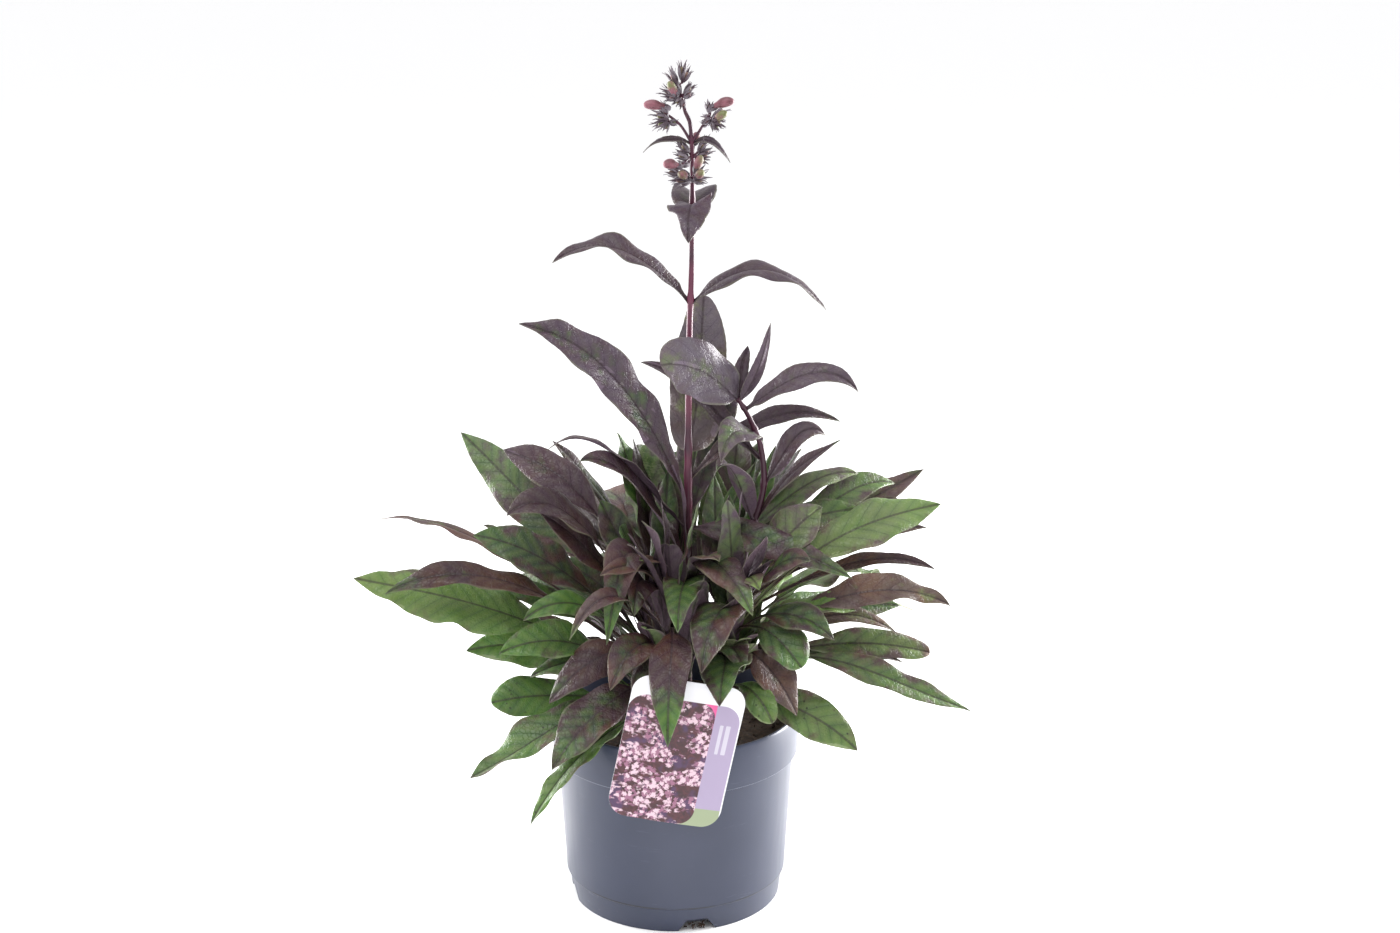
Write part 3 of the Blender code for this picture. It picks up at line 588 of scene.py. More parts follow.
def cut(bm, cutter):
    """The first mesh with the second one's shape taken out of it."""
    objects = []
    for name, mesh_data in (("whole", bm), ("cutter", cutter)):
        mesh = bpy.data.meshes.new(name)
        mesh_data.to_mesh(mesh)
        mesh_data.free()
        obj = bpy.data.objects.new(name, mesh)
        bpy.context.scene.collection.objects.link(obj)
        objects.append(obj)
    whole, knife = objects
    modifier = whole.modifiers.new("cut", "BOOLEAN")
    modifier.object = knife
    modifier.operation = "DIFFERENCE"
    modifier.solver = "EXACT"
    done = bpy.data.meshes.new_from_object(whole.evaluated_get(bpy.context.evaluated_depsgraph_get()))
    made = bmesh.new()
    made.from_mesh(done)
    bpy.data.meshes.remove(done)
    for obj in objects:
        bpy.data.meshes.remove(obj.data)
    return made


def moulded_polypropylene(look):
    """Injection-moulded recycled polypropylene: dark blue-grey, satin, with a faint grain, rub marks and a
    painted shade line along the step above the foot.
    """
    made, tree, shader = new_material("moulded_polypropylene")
    place = add(tree, "TexCoord", out="Object")
    cloud = add(tree, "TexNoise", {"Vector": place, "Scale": 1 / 0.045, "Detail": 3.0})
    flow_place = add(tree, "Mapping", {"Vector": place, "Scale": (1.0, 1.0, 0.12)})
    flow = add(tree, "TexNoise", {"Vector": flow_place, "Scale": 1 / 0.006, "Detail": 4.0})
    sideways = {"Vector": place, "Scale": (1.0, 1.0, 6.0), "Rotation": (0.05, 0.08, 0.0)}
    scuff_place = add(tree, "Mapping", sideways)
    scuff_look = {"Vector": scuff_place, "Scale": 1 / 0.030, "Detail": 6.0, "Roughness": 0.7}
    scuff = add(tree, "TexNoise", scuff_look)
    scuffed = add(tree, "MapRange", (scuff, 0.62, 0.70, 0.0, 0.5), **SOFT)
    height = add(tree, "SeparateXYZ", (place,), out=2)
    low = add(tree, "MapRange", (height, 0.030, 0.012, 0.15, 1.0))
    scuffed = add(tree, "Math", (scuffed, low), operation="MULTIPLY")
    tone = add(tree, "MapRange", (cloud, 0.3, 0.7, 0.0, 0.35))
    dust = add(tree, "Mix", {0: tone, 6: look.colour, 7: look.dust_colour}, **COLOUR_MIX)
    rubbed = add(tree, "Mix", {0: scuffed, 6: dust, 7: look.scuff_colour}, **COLOUR_MIX)
    # A dark line of painted shade runs along the step above the foot, and a pale line runs along the rim
    # band's lower edge.
    shaded_step = (FOOT_STEP_HEIGHT + 0.6, 0.5, look.step_shade_colour)
    rim_band_line = (POT_HEIGHT - RIM_BAND, 0.4, look.scuff_colour)
    broken = add(tree, "MapRange", (scuff, 0.42, 0.55, 0.2, 1.0))
    for level, half, mark in (shaded_step, rim_band_line):
        above = add(tree, "Math", (height, level * MM), operation="SUBTRACT")
        off = add(tree, "Math", (above,), operation="ABSOLUTE")
        line = add(tree, "MapRange", (off, half * MM, half * 1.6 * MM, 0.75, 0.0))
        line = add(tree, "Math", (line, broken), operation="MULTIPLY")
        rubbed = add(tree, "Mix", {0: line, 6: rubbed, 7: mark}, **COLOUR_MIX)
    rough = add(tree, "MapRange", (flow, 0.3, 0.7, look.roughness - 0.02, look.roughness + 0.03))
    grain = add(tree, "TexNoise", {"Vector": place, "Scale": 1 / 0.0009, "Detail": 2.0})
    bump = add(tree, "Bump", {"Height": grain, "Distance": 0.00004, "Strength": 0.5})
    plug(tree, shader, {"Base Color": rubbed, "Roughness": rough, "Normal": bump, "IOR": 1.49})
    return made


# --- Soil and crown -----------------------------------------------------------------------------


def potting_soil(look):
    """Moist peat potting soil: near-black brown, crumbly and matt."""
    made, tree, shader = new_material("peat_potting_soil")
    place = add(tree, "TexCoord", out="Object")
    crumbs = add(tree, "TexNoise", {"Vector": place, "Scale": 1 / 0.004, "Detail": 8.0, "Roughness": 0.7})
    tone = add(tree, "MapRange", (crumbs, 0.35, 0.7, 0.0, 1.0))
    colour = add(tree, "Mix", {0: tone, 6: look.dark_colour, 7: look.light_colour}, **COLOUR_MIX)
    bump = add(tree, "Bump", {"Height": crumbs, "Distance": 0.0015, "Strength": 0.9})
    plug(tree, shader, {"Base Color": colour, "Roughness": 0.92, "Normal": bump})
    return made


def woody_bark(look):
    """Old penstemon wood: thin, peeling grey-brown bark over purple-brown stem."""
    made, tree, shader = new_material("woody_stem_bark")
    place = add(tree, "TexCoord", out="Object")
    long_place = add(tree, "Mapping", {"Vector": place, "Scale": (1.0, 1.0, 0.2)})
    fibre_look = {"Vector": long_place, "Scale": 1 / 0.0016, "Detail": 5.0, "Roughness": 0.65}
    fibre = add(tree, "TexNoise", fibre_look)
    tone = add(tree, "MapRange", (fibre, 0.35, 0.65, 0.0, 1.0))
    colour = add(tree, "Mix", {0: tone, 6: look.bark_dark, 7: look.bark_light}, **COLOUR_MIX)
    bump = add(tree, "Bump", {"Height": fibre, "Distance": 0.0006, "Strength": 0.8})
    plug(tree, shader, {"Base Color": colour, "Roughness": 0.8, "Normal": bump})
    return made


def soil_body():
    """The root ball and its uneven top, filling the pot to a little under its rim."""
    floor = WALL + CHANNEL_HEIGHT + SOIL_GAP
    edge = RIM_RADIUS - WALL - 1.0
    rings = 16
    rise = SOIL_MIDDLE - SOIL_EDGE
    top = [(edge * (1 - ring / rings), SOIL_EDGE + rise * ring / rings) for ring in range(rings + 1)]
    outline = [
        (0, WALL + SOIL_GAP),
        (PAD_RADIUS - 1.5, WALL + SOIL_GAP),
        (PAD_RADIUS + 3, floor),
        (FOOT_RADIUS - 1.1, floor),
        (BODY_TOP_RADIUS - WALL - SOIL_GAP, POT_HEIGHT - RIM_BAND - 1),
        (edge - 0.1, POT_HEIGHT - RIM_BAND + 3.5),
        *top,
    ]
    bm = turned(outline, 96)
    for vert in bm.verts:
        if vert.co.z > SOIL_EDGE - 1:
            inner = min(1.0, (edge - vert.co.xy.length) / 4)
            vert.co.z += inner * (2.4 * noise.noise(vert.co / 9) + 1.6 * noise.noise(vert.co / 3.5))
    return bm


def add_crumb(bm, rng, place, size):
    """Adds one rough crumb of soil or bark."""
    verts = bmesh.ops.create_icosphere(bm, subdivisions=1, radius=1)["verts"]
    for vert in verts:
        vert.co *= rng.uniform(0.7, 1.15)
    long = size * rng.uniform(1.0, 2.0)
    shape = Matrix.Diagonal((long, size, size * rng.uniform(0.5, 0.9), 1))
    turn = Euler([rng.uniform(0, math.tau) for _ in range(3)]).to_matrix().to_4x4()
    bmesh.ops.transform(bm, matrix=Matrix.Translation(place) @ turn @ shape, verts=verts)


def soil_crumbs(count, size):
    """Loose crumbs on the soil, and a few that fell out of the nearest drain notch."""
    bm = bmesh.new()
    rng = random.Random(4)
    for _ in range(count):
        reach = (RIM_RADIUS - WALL - 6) * math.sqrt(rng.random())
        turn = rng.uniform(0, math.tau)
        top = SOIL_MIDDLE + (SOIL_EDGE - SOIL_MIDDLE) * reach / RIM_RADIUS
        place = Vector((reach * math.cos(turn), reach * math.sin(turn), top + rng.uniform(-0.3, 0.9)))
        add_crumb(bm, rng, place, size * rng.uniform(0.5, 1.6))
    for _ in range(NOTCH_CRUMBS):
        turn = math.radians(FIRST_NOTCH_TURN + rng.gauss(0, 3.2))
        reach = FOOT_RADIUS - 1.6 + rng.uniform(-2.0, 1.2)
        small = rng.uniform(0.5, 1.1)
        place = Vector((reach * math.cos(turn), reach * math.sin(turn), rng.uniform(2.4 * small, 6.0)))
        add_crumb(bm, rng, place, small)
    return bm


def crown_body():
    """The woody crown: a lumpy mound on the soil, and its short shoots."""
    outline = [(0, SOIL_MIDDLE - 2), (CROWN_RADIUS, SOIL_MIDDLE - 2)]
    steps = 10
    for step in range(1, steps + 1):
        angle = math.pi / 2 * step / steps
        high = CROWN_TOP - SOIL_MIDDLE - 1
        outline.append((CROWN_RADIUS * math.cos(angle), SOIL_MIDDLE - 1 + high * math.sin(angle) ** 1.2))
    bm = turned(outline, 48)
    for vert in bm.verts:
        if vert.co.z > SOIL_MIDDLE - 1:
            lump = noise.noise(vert.co / 8) * 1.6 + noise.noise(vert.co / 3) * 0.7
            vert.co += vert.co.normalized() * lump
    bmesh.ops.translate(bm, vec=CROWN_MIDDLE, verts=bm.verts)
    for name in CROWN_SHOOTS:
        shoot = SHOOTS[name]
        foot = Vector(shoot.points[0]) + Vector((0, 0, 1))
        nodes = node_shares(name)
        add_tube(bm, (foot, shoot.points[1]), lambda share: swollen(shoot, nodes, share), 14, 60)
    return bm


# --- Stems --------------------------------------------------------------------------------------


def node_shares(shoot_name):
    """Where leaves join a shoot, as shares of its points."""
    points = SHOOTS[shoot_name].points
    shares = []
    for row in LEAVES:
        if row.shoot == shoot_name:
            for index, (low, high) in enumerate(zip(points, points[1:])):
                if low[2] <= row.height <= high[2]:
                    part = (row.height - low[2]) / (high[2] - low[2])
                    shares.append((index + part) / (len(points) - 1))
                    break
    return shares


def swollen(shoot, nodes, share):
    """A shoot's radius at this share of it: it thins upwards and swells where leaves join it."""
    radius = shoot.foot_radius + (shoot.top_radius - shoot.foot_radius) * share
    near = min((abs(share - node) for node in nodes), default=1.0)
    return radius * (1 + 0.28 * math.exp(-((near / 0.012) ** 2)))


def stem_body(shoot_name, rings=170):
    """A round stem along its shoot's axis, swollen where leaves join it."""
    shoot = SHOOTS[shoot_name]
    nodes = node_shares(shoot_name)
    bm = bmesh.new()
    add_tube(bm, shoot.points, lambda share: swollen(shoot, nodes, share), 20, rings)
    return bm


def smooth_stem(name, look, ripe):
    """Living penstemon stem: smooth, waxy purple-red skin, duller and browner near the crown."""
    made, tree, shader = new_material(name)
    place = add(tree, "TexCoord", out="Object")
    long_place = add(tree, "Mapping", {"Vector": place, "Scale": (1.0, 1.0, 0.1)})
    fibre = add(tree, "TexNoise", {"Vector": long_place, "Scale": 1 / 0.0012, "Detail": 3.0})
    cloud = add(tree, "TexNoise", {"Vector": place, "Scale": 1 / 0.03, "Detail": 2.0})
    tone = add(tree, "MapRange", (cloud, 0.35, 0.65, ripe, 1.0))
    fresh = add(tree, "Mix", {0: tone, 6: look.stem_colour, 7: look.stem_shade}, **COLOUR_MIX)
    height = add(tree, "SeparateXYZ", (place,), out=2)
    low = add(tree, "MapRange", (height, 0.33, 0.22, 0.0, 0.85))
    colour = add(tree, "Mix", {0: low, 6: fresh, 7: look.bark_dark}, **COLOUR_MIX)
    bump = add(tree, "Bump", {"Height": fibre, "Distance": 0.0002, "Strength": 0.5})
    plug(tree, shader, {"Base Color": colour, "Roughness": 0.38, "Normal": bump})
    return made


# --- Leaves -------------------------------------------------------------------------------------


def midrib(row):
    """The four control points of the leaf's midrib, a cubic curve from the shoot to the tip."""
    shoot = SHOOTS[row.shoot]
    axis = shoot_point(shoot.points, row.height)
    tip = Vector(row.tip)
    outward = Vector((tip.x - axis.x, tip.y - axis.y, 0)).normalized()
    foot = axis + outward * shoot.top_radius * 0.6
    near = Vector((0, 0, row.bow - row.hook))
    far = Vector((0, 0, row.bow + row.hook))
    return foot, foot.lerp(tip, 1 / 3) + near / 0.75, foot.lerp(tip, 2 / 3) + far / 0.75, tip


def cubic(points, share):
    """A cubic curve's point and direction at this share of it."""
    a, b, c, d = points
    rest = 1 - share
    place = a * rest**3 + b * 3 * rest**2 * share + c * 3 * rest * share**2 + d * share**3
    heading = (b - a) * rest**2 + (c - b) * 2 * rest * share + (d - c) * share**2
    return place, heading.normalized()


def half_width(row, share):
    """Half the blade's width at this share of the leaf's length."""
    kind = KINDS[row.kind]
    blade = max(0.0, (share - kind.stalk) / (1 - kind.stalk))
    peak = kind.rise / (kind.rise + kind.fall)
    fullest = peak**kind.rise * (1 - peak) ** kind.fall
    wide = row.width / 2 * blade**kind.rise * (1 - blade) ** kind.fall / fullest
    stalk = min(STALK_HALF_WIDTH, row.width / 5)
    return max(wide, stalk + (TIP_HALF_WIDTH - stalk) * share)


def station_share(index):
    """Stations along a leaf stand closer together towards its tip."""
    return 1 - (1 - index / LEAF_LENGTHWISE) ** 1.35


def blade_frames(row, wander):
    """Share, place, side, up and distance along the leaf at each station of its midrib."""
    points = midrib(row)
    place, heading = cubic(points, 0.0)
    up = Vector((0, 0, 1)) - heading * heading.z
    up.normalize()
    frames = []
    run = 0.0
    before = place
    for index in range(LEAF_LENGTHWISE + 1):
        share = station_share(index)
        place, ahead = cubic(points, share)
        up = heading.rotation_difference(ahead) @ up
        heading = ahead
        turned_up = Quaternion(ahead, math.radians(row.roll + wander(share))) @ up
        run += (place - before).length
        before = place
        frames.append((share, place, turned_up.cross(ahead), turned_up, run))
    return frames


def leaf_body(row, look, seed):
    """A leaf: a folded, quilted and rippled blade with a fine-toothed margin, running down into its stalk."""
    rng = random.Random(seed)
    turn_size, turn_phase = rng.uniform(8, 20), rng.uniform(0, math.tau)
    frames = blade_frames(row, lambda share: turn_size * math.sin(5 * share + turn_phase) * share)
    sway_size, sway_phase = rng.uniform(0.8, 2.0), rng.uniform(0, math.tau)
    buckle, buckle_length = rng.uniform(0.05, 0.14) * row.width / 2, rng.uniform(34, 70)
    # Painted light: a leaf with no listed tone varies at random, and is made lighter the further right its
    # tip reaches, standing in for the stronger light from that side.
    tone = TONES.get(row.name, rng.uniform(-1.1, 0.35) + max(-0.1, min(0.35, row.tip[0] / 400)))
    tip_tone = rng.uniform(-0.2, 0.8)
    crinkled = CRINKLES.get(row.name, 1.0)
    ripple = look.ripple * 1000 * rng.uniform(0.5, 1.3) * row.width / USUAL_WIDTH * crinkled
    ripple_length = rng.uniform(24, 42)
    phases = (rng.uniform(0, math.tau), rng.uniform(0, math.tau))
    droop = rng.uniform(0.10, 0.36)
    fold = math.radians(LEAF_FOLD + rng.uniform(-3, 8))
    curl = rng.uniform(-0.15, 0.5)
    tip_green = rng.uniform(0.0, 0.95) * (0.3 if row.tip[2] > HIGH_TIP else 1)
    tip_green = GREEN_TIPS.get(row.name, tip_green)
    vein_spacing = look.vein_spacing * 1000 * rng.uniform(0.85, 1.15)
    bm = bmesh.new()
    bmesh.ops.create_grid(bm, x_segments=LEAF_LENGTHWISE, y_segments=LEAF_CROSSWISE, size=1)
    layers = {name: bm.verts.layers.float.new(name) for name in LEAF_LAYERS}
    ups = bm.verts.layers.float_vector.new("up")
    for vert in bm.verts:
        index = round((vert.co.x + 1) / 2 * LEAF_LENGTHWISE)
        part = vert.co.y
        spread = abs(part)
        share, place, side, up, run = frames[index]
        wide = half_width(row, share)
        blade = min(1.0, wide / (row.width * 0.3))
        tooth = (run / look.tooth_spacing / 1000) % 1
        reach = wide + TOOTH_DEPTH * (tooth - 0.5) * blade * (spread > 0.99)
        reach *= 1 + 0.06 * math.sin(math.tau * run / (1.7 * ripple_length) + phases[part < 0]) * blade
        out = spread * reach
        wave = math.sin(math.tau * run / ripple_length + phases[part > 0])
        roll = math.sin(math.tau * run / buckle_length + phases[part > 0] * 2)
        vein = (run - VEIN_LEAN * out) / vein_spacing * math.tau
        lift = out * math.sin(fold) - droop * wide * spread**3
        lift += (ripple * wave * spread**2.4 + crinkled * buckle * roll * spread**1.4) * blade
        lift -= QUILT_DEPTH * math.cos(vein) * 4 * spread * (1 - spread) * blade * row.width / USUAL_WIDTH
        lift -= RIB_DEPTH * math.exp(-((out / RIB_HALF_WIDTH) ** 2))
        tuck = 1 - 0.12 * curl * spread**3
        sway = sway_size * math.sin(4 * share + sway_phase) * math.sin(math.pi * share)
        vert.co = place + side * (math.copysign(out * math.cos(fold) * tuck, part) + sway) + up * lift
        vert[layers["along"]] = run / vein_spacing
        vert[layers["across"]] = out
        vert[layers["margin"]] = wide - out
        vert[layers["blush"]] = row.blush - tip_green * row.blush * max(0.0, (share - 0.55) / 0.45) ** 2
        vert[layers["tone"]] = tone + tip_tone * max(0.0, (share - 0.4) / 0.6)
        vert[ups] = up
    bmesh.ops.solidify(bm, geom=bm.faces[:], thickness=look.thickness * 1000)
    bmesh.ops.recalc_face_normals(bm, faces=bm.faces)
    for face in bm.faces:
        face.material_index = 0 if face.normal.dot(face.verts[0][ups]) > 0 else 1
    bm.verts.layers.float_vector.remove(ups)
    return bm


def leaf_flush(tree, at):
    """How purple the tissue is, from 0 to 1: the leaf's blush in uneven patches, deeper near its margin."""
    flush = add(tree, "Math", (at["blush"], at["spread"]), operation="ADD")
    inner = add(tree, "MapRange", (at["margin"], 0.5, 11.0, -0.16, 0.08), **SOFT)
    flush = add(tree, "Math", (flush, inner), operation="SUBTRACT")
    return add(tree, "MapRange", (flush, 0.18, 0.62, 0.0, 1.0), **SOFT)


def leaf_tissue(tree, look, at, flush, upper):
    """Greens and purples mixed by the flush. No two leaves are alike: some are lighter and more olive, partly
    by their own colour and partly by painted light that their tone carries.
    """
    if upper:
        greens, purples = (look.bright_green, look.deep_green), (look.maroon, look.bronze)
    else:
        greens, purples = (look.under_green, look.under_green), (look.under_purple, look.under_purple)
    deep = add(tree, "MapRange", (at["blush"], 0.02, 0.38, 0.05, 0.95))
    uneven = add(tree, "MapRange", (at["cloud"], 0.3, 0.7, -0.3, 0.3))
    deep = add(tree, "Math", (deep, uneven), operation="ADD", use_clamp=True)
    green = add(tree, "Mix", {0: deep, 6: greens[0], 7: greens[1]}, **COLOUR_MIX)
    bronze = add(tree, "MapRange", (at["cloud"], 0.42, 0.62, 0.0, 1.0), **SOFT)
    low = add(tree, "MapRange", (at["height"], 0.34, 0.27, 0.25, 1.0))
    bronze = add(tree, "Math", (bronze, low), operation="MULTIPLY")
    purple = add(tree, "Mix", {0: bronze, 6: purples[0], 7: purples[1]}, **COLOUR_MIX)
    tissue = add(tree, "Mix", {0: flush, 6: green, 7: purple}, **COLOUR_MIX)
    lightness = add(tree, "Math", (at["tone"], at["spread"]), operation="ADD")
    paled = add(tree, "MapRange", (lightness, -0.1, 1.3, 0.0, 0.55))
    greener = add(tree, "MapRange", (flush, 0.0, 1.0, 1.0, 0.25))
    paled = add(tree, "Math", (paled, greener), operation="MULTIPLY")
    tissue = add(tree, "Mix", {0: paled, 6: tissue, 7: look.olive}, **COLOUR_MIX)
    shade = add(tree, "MapRange", (at["tone"], -1.0, 1.0, 0.42, 1.1))
    return add(tree, "HueSaturation", {"Color": tissue, "Value": shade})


def leaf_bloom_and_sheen(tree, at, flush):
    """How much grey the tissue takes, from a thin real waxy coat and from painted sheen that stands in for
    the sky's reflection: it is thickest on the upper, lighter and purple leaves.
    """
    bloom_and_sheen = add(tree, "MapRange", (at["height"], 0.26, 0.42, 0.12, 0.40))
    for cause, *ends in (
        (at["tone"], -0.8, 0.6, 0.35, 1.15),
        (at["patch"], 0.35, 0.6, 0.5, 1.0),
        (flush, 0.0, 1.0, 0.75, 1.0),
    ):
        effect = add(tree, "MapRange", (cause, *ends))
        bloom_and_sheen = add(tree, "Math", (bloom_and_sheen, effect), operation="MULTIPLY")
    return bloom_and_sheen


def leaf_veins(tree, at, spacing):
    """The side veins and the midrib, from 0 to 1, and the millimetres from the nearest side vein."""
    lean = add(tree, "Math", (at["across"], VEIN_LEAN / spacing), operation="MULTIPLY")
    phase = add(tree, "Math", (at["along"], lean), operation="SUBTRACT")
    phase = add(tree, "Math", (phase,), operation="FRACT")
    centre = add(tree, "Math", (phase, 0.5), operation="SUBTRACT")
    off = add(tree, "Math", (centre,), operation="ABSOLUTE")
    from_vein = add(tree, "MapRange", (off, 0.5, 0.0, 0.0, spacing / 2))
    vein = add(tree, "MapRange", (from_vein, 0.1, 0.55, 1.0, 0.0), **SOFT)
    inner = add(tree, "MapRange", (at["margin"], 1.0, 5.0, 0.0, 1.0))
    vein = add(tree, "Math", (vein, inner), operation="MULTIPLY")
    rib = add(tree, "MapRange", (at["across"], 0.45, 1.25, 1.0, 0.0), **SOFT)
    return vein, rib, from_vein


def leaf_relief(tree, place, vein, rib):
    """The bumped normal: puckers, then the net of small veins with the sunken large ones, then cells."""
    puckered = add(tree, "TexNoise", {"Vector": place, "Scale": 1 / 0.011, "Detail": 1.5, "Roughness": 0.5})
    puckers = add(tree, "Bump", {"Height": puckered, "Distance": 0.0030, "Strength": 0.55})
    net_look = {"Vector": place, "Scale": 1 / 0.0034}
    net = add(tree, "TexVoronoi", net_look, out="Distance", feature="DISTANCE_TO_EDGE")
    net = add(tree, "MapRange", (net, 0.0, 0.12, 0.0, 1.0))
    sunk = add(tree, "Math", (vein, rib), operation="MAXIMUM")
    relief = add(tree, "Math", (net, sunk), operation="SUBTRACT")
    coarse = add(tree, "Bump", {"Height": relief, "Distance": 0.00022, "Strength": 0.8, "Normal": puckers})
    cells = add(tree, "TexVoronoi", {"Vector": place, "Scale": 1 / 0.0011}, out="Distance")
    return add(tree, "Bump", {"Height": cells, "Distance": 0.00006, "Strength": 0.6, "Normal": coarse})


def living_leaf(name, look, upper):
    """Penstemon leaf: thin satin cuticle over green tissue that flushes purple-brown in uneven patches.

    The midrib and side veins are dark and sunken, and the underside is paler and duller. A grey painted sheen
    stands in for the sky's reflection over a thin waxy coat, and a painted highlight lightens the tissue
    between the side veins.
    """
    made, tree, shader = new_material(name)
    at = {layer: add(tree, "Attribute", out="Fac", attribute_name=layer) for layer in LEAF_LAYERS}
    place = add(tree, "TexCoord", out="Object")
    at["height"] = add(tree, "SeparateXYZ", (place,), out=2)
    patch_look = {"Vector": place, "Scale": 1 / 0.017, "Detail": 4.0, "Roughness": 0.6}
    at["patch"] = add(tree, "TexNoise", patch_look)
    at["spread"] = add(tree, "MapRange", (at["patch"], 0.3, 0.7, -0.34, 0.34))
    cloud_look = {"Vector": place, "Scale": 1 / 0.040, "Detail": 2.0, "Distortion": 0.6}
    at["cloud"] = add(tree, "TexNoise", cloud_look)
    spacing = look.vein_spacing * 1000
    flush = leaf_flush(tree, at)
    vein, rib, from_vein = leaf_veins(tree, at, spacing)
    # Painted highlight: the tissue midway between the side veins is lightened, more on green leaves, as if
    # its quilted bulges caught the light.
    between = add(tree, "MapRange", (from_vein, 0.4, spacing / 2, 0.0, 1.0))
    lightened = add(tree, "MapRange", (flush, 0.0, 1.0, 0.13, 0.03))
    edge = add(tree, "MapRange", (at["margin"], 0.0, 0.7, 1.0, 0.0))
    # Soil is splashed on the lowest leaves, in groups of specks.
    speck = add(tree, "TexVoronoi", {"Vector": place, "Scale": 1 / 0.0042}, out="Distance")
    speck = add(tree, "MapRange", (speck, 0.16, 0.22, 1.0, 0.0))
    group = add(tree, "MapRange", (at["cloud"], 0.50, 0.58, 0.0, 0.85))
    low = add(tree, "MapRange", (at["height"], 0.215, 0.165, 0.0, 1.0))
    splashed = add(tree, "Math", (group, low), operation="MULTIPLY")
    colour = leaf_tissue(tree, look, at, flush, upper)
    coats = (
        # Painted sheen: a grey-lilac coat that stands in for the sky's reflection on the upper leaves, over a
        # thin real waxy coat.
        (leaf_bloom_and_sheen(tree, at, flush), 1.0, look.bloom_and_sheen_colour),
        (between, lightened, look.quilt_highlight_colour),
        (vein, 0.24, look.vein_colour),
        (rib, 0.6, look.vein_colour),
        (edge, 0.2, look.margin_colour),
        (speck, splashed, look.splash_colour),
    )
    for where, strength, coat in coats:
        share = add(tree, "Math", (where, strength), operation="MULTIPLY")
        colour = add(tree, "Mix", {0: share, 6: colour, 7: coat}, **COLOUR_MIX)
    dullness = (0.34, 0.50) if upper else (0.58, 0.70)
    rough = add(tree, "MapRange", (at["patch"], 0.3, 0.7, *dullness))
    normal = leaf_relief(tree, place, vein, rib)
    plug(tree, shader, {"Base Color": colour, "Roughness": rough, "Normal": normal, "IOR": 1.43})
    return made


def leaf_slot(blush):
    """The group of leaf skins for a leaf of this blush."""
    if blush < 0.33:
        return "leaf_green"
    return "leaf_bronze" if blush < 0.72 else "leaf_purple"


def filling_leaves():
    """The further leaves with a row of their own, then the seeded tiers."""
    for index, row in enumerate(FILLING):
        yield Leaf(f"filling_{index + 1:02d}", *row)
    rng = random.Random(21)
    number = 0
    for tier in TIERS:
        first, last = tier.turns
        for index in range(tier.count):
            number += 1
            angle = math.radians(first + (last - first) * (index + rng.uniform(0.2, 0.8)) / tier.count)
            way = Vector((math.cos(angle), math.sin(angle), 0))
            shoot = max(tier.shoots, key=lambda name: way.dot(Vector(SHOOTS[name].points[0]) - CROWN_MIDDLE))
            height = rng.uniform(*tier.feet)
            axis = shoot_point(SHOOTS[shoot].points, height)
            reach = rng.uniform(*tier.reach)
            reached = (axis.x + reach * 1.15 * way.x, axis.y + reach * way.y)
            inside = [max(low, min(high, end)) for end, (low, high) in zip(reached, TIER_LIMITS)]
            tip = (*inside, rng.uniform(*tier.tips))
            yield Leaf(
                f"tier_{number:02d}",
                shoot,
                height,
                tip,
                tier.width * rng.uniform(0.75, 1.15),
                "spoon" if rng.random() < 0.2 else "lance",
                rng.uniform(12, 30) if reach > 90 else rng.uniform(2, 10),
                rng.uniform(-5, 8),
                rng.uniform(-25, 25),
                rng.choice(tier.blushes),
            )


# --- Flower head --------------------------------------------------------------------------------


def aim(place, direction, spin=0.0):
    """A matrix that puts a shape made along +Z at a place, pointing this way."""
    turn = Vector((0, 0, 1)).rotation_difference(Vector(direction).normalized())
    return Matrix.Translation(place) @ turn.to_matrix().to_4x4() @ Matrix.Rotation(spin, 4, "Z")


def add_sepals(bm, place, count, length, width, spread):
    """Adds the pointed sepals of one calyx round the +Z axis of place, closed below and open above."""
    for index in range(count):
        verts = bmesh.ops.create_grid(bm, x_segments=5, y_segments=2, size=1)["verts"]
        turn = Matrix.Rotation(math.tau * index / count, 4, "Z")
        tall = length * (1 if index % 2 else 0.86)
        for vert in verts:
            share = (vert.co.x + 1) / 2
            half = width / 2 * (1 - share**1.6) * (0.7 + 1.5 * share * (1 - share)) + 0.07
            out = 0.9 + 1.3 * math.sin(math.pi * min(1.0, share * 1.25)) + spread * tall * share**2.6
            side = vert.co.y * half
            vert.co = Vector((out - 0.4 * abs(vert.co.y) * (1 - share), side, tall * share))
        bmesh.ops.transform(bm, matrix=place @ turn, verts=verts)


def add_egg(bm, foot, end, radius, turns, rings, fuller=0.2):
    """Adds an egg shape from foot to end, fuller towards its end."""
    verts = bmesh.ops.create_uvsphere(bm, u_segments=turns, v_segments=rings, radius=1)["verts"]
    axis = Vector(end) - Vector(foot)
    for vert in verts:
        fat = radius * (1 + fuller * vert.co.z)
        vert.co = Vector((vert.co.x * fat, vert.co.y * fat, vert.co.z * axis.length / 2))
    bmesh.ops.transform(bm, matrix=aim((Vector(foot) + Vector(end)) / 2, axis), verts=verts)
    return verts


def far_side(rows, rng):
    """The rows, and for each but the pink one its looser twin on the far side of the stem."""
    for kind, foot, end in rows:
        yield kind, Vector(foot), Vector(end)
        if kind != "pink":
            drift = Vector((rng.uniform(-3, 3), 0, rng.uniform(-4, 3)))
            turned_end = Vector((end[0], -end[1] + rng.uniform(1, 4), end[2])) + drift
            twin = "calyx" if rng.random() < 0.8 else kind
            yield twin, Vector((foot[0], -foot[1], foot[2])), turned_end


def nearest_joint(foot):
    """The joint that a floret with this foot grows from."""
    return min((Vector(point) for point in JOINTS), key=lambda point: (point - foot).length)


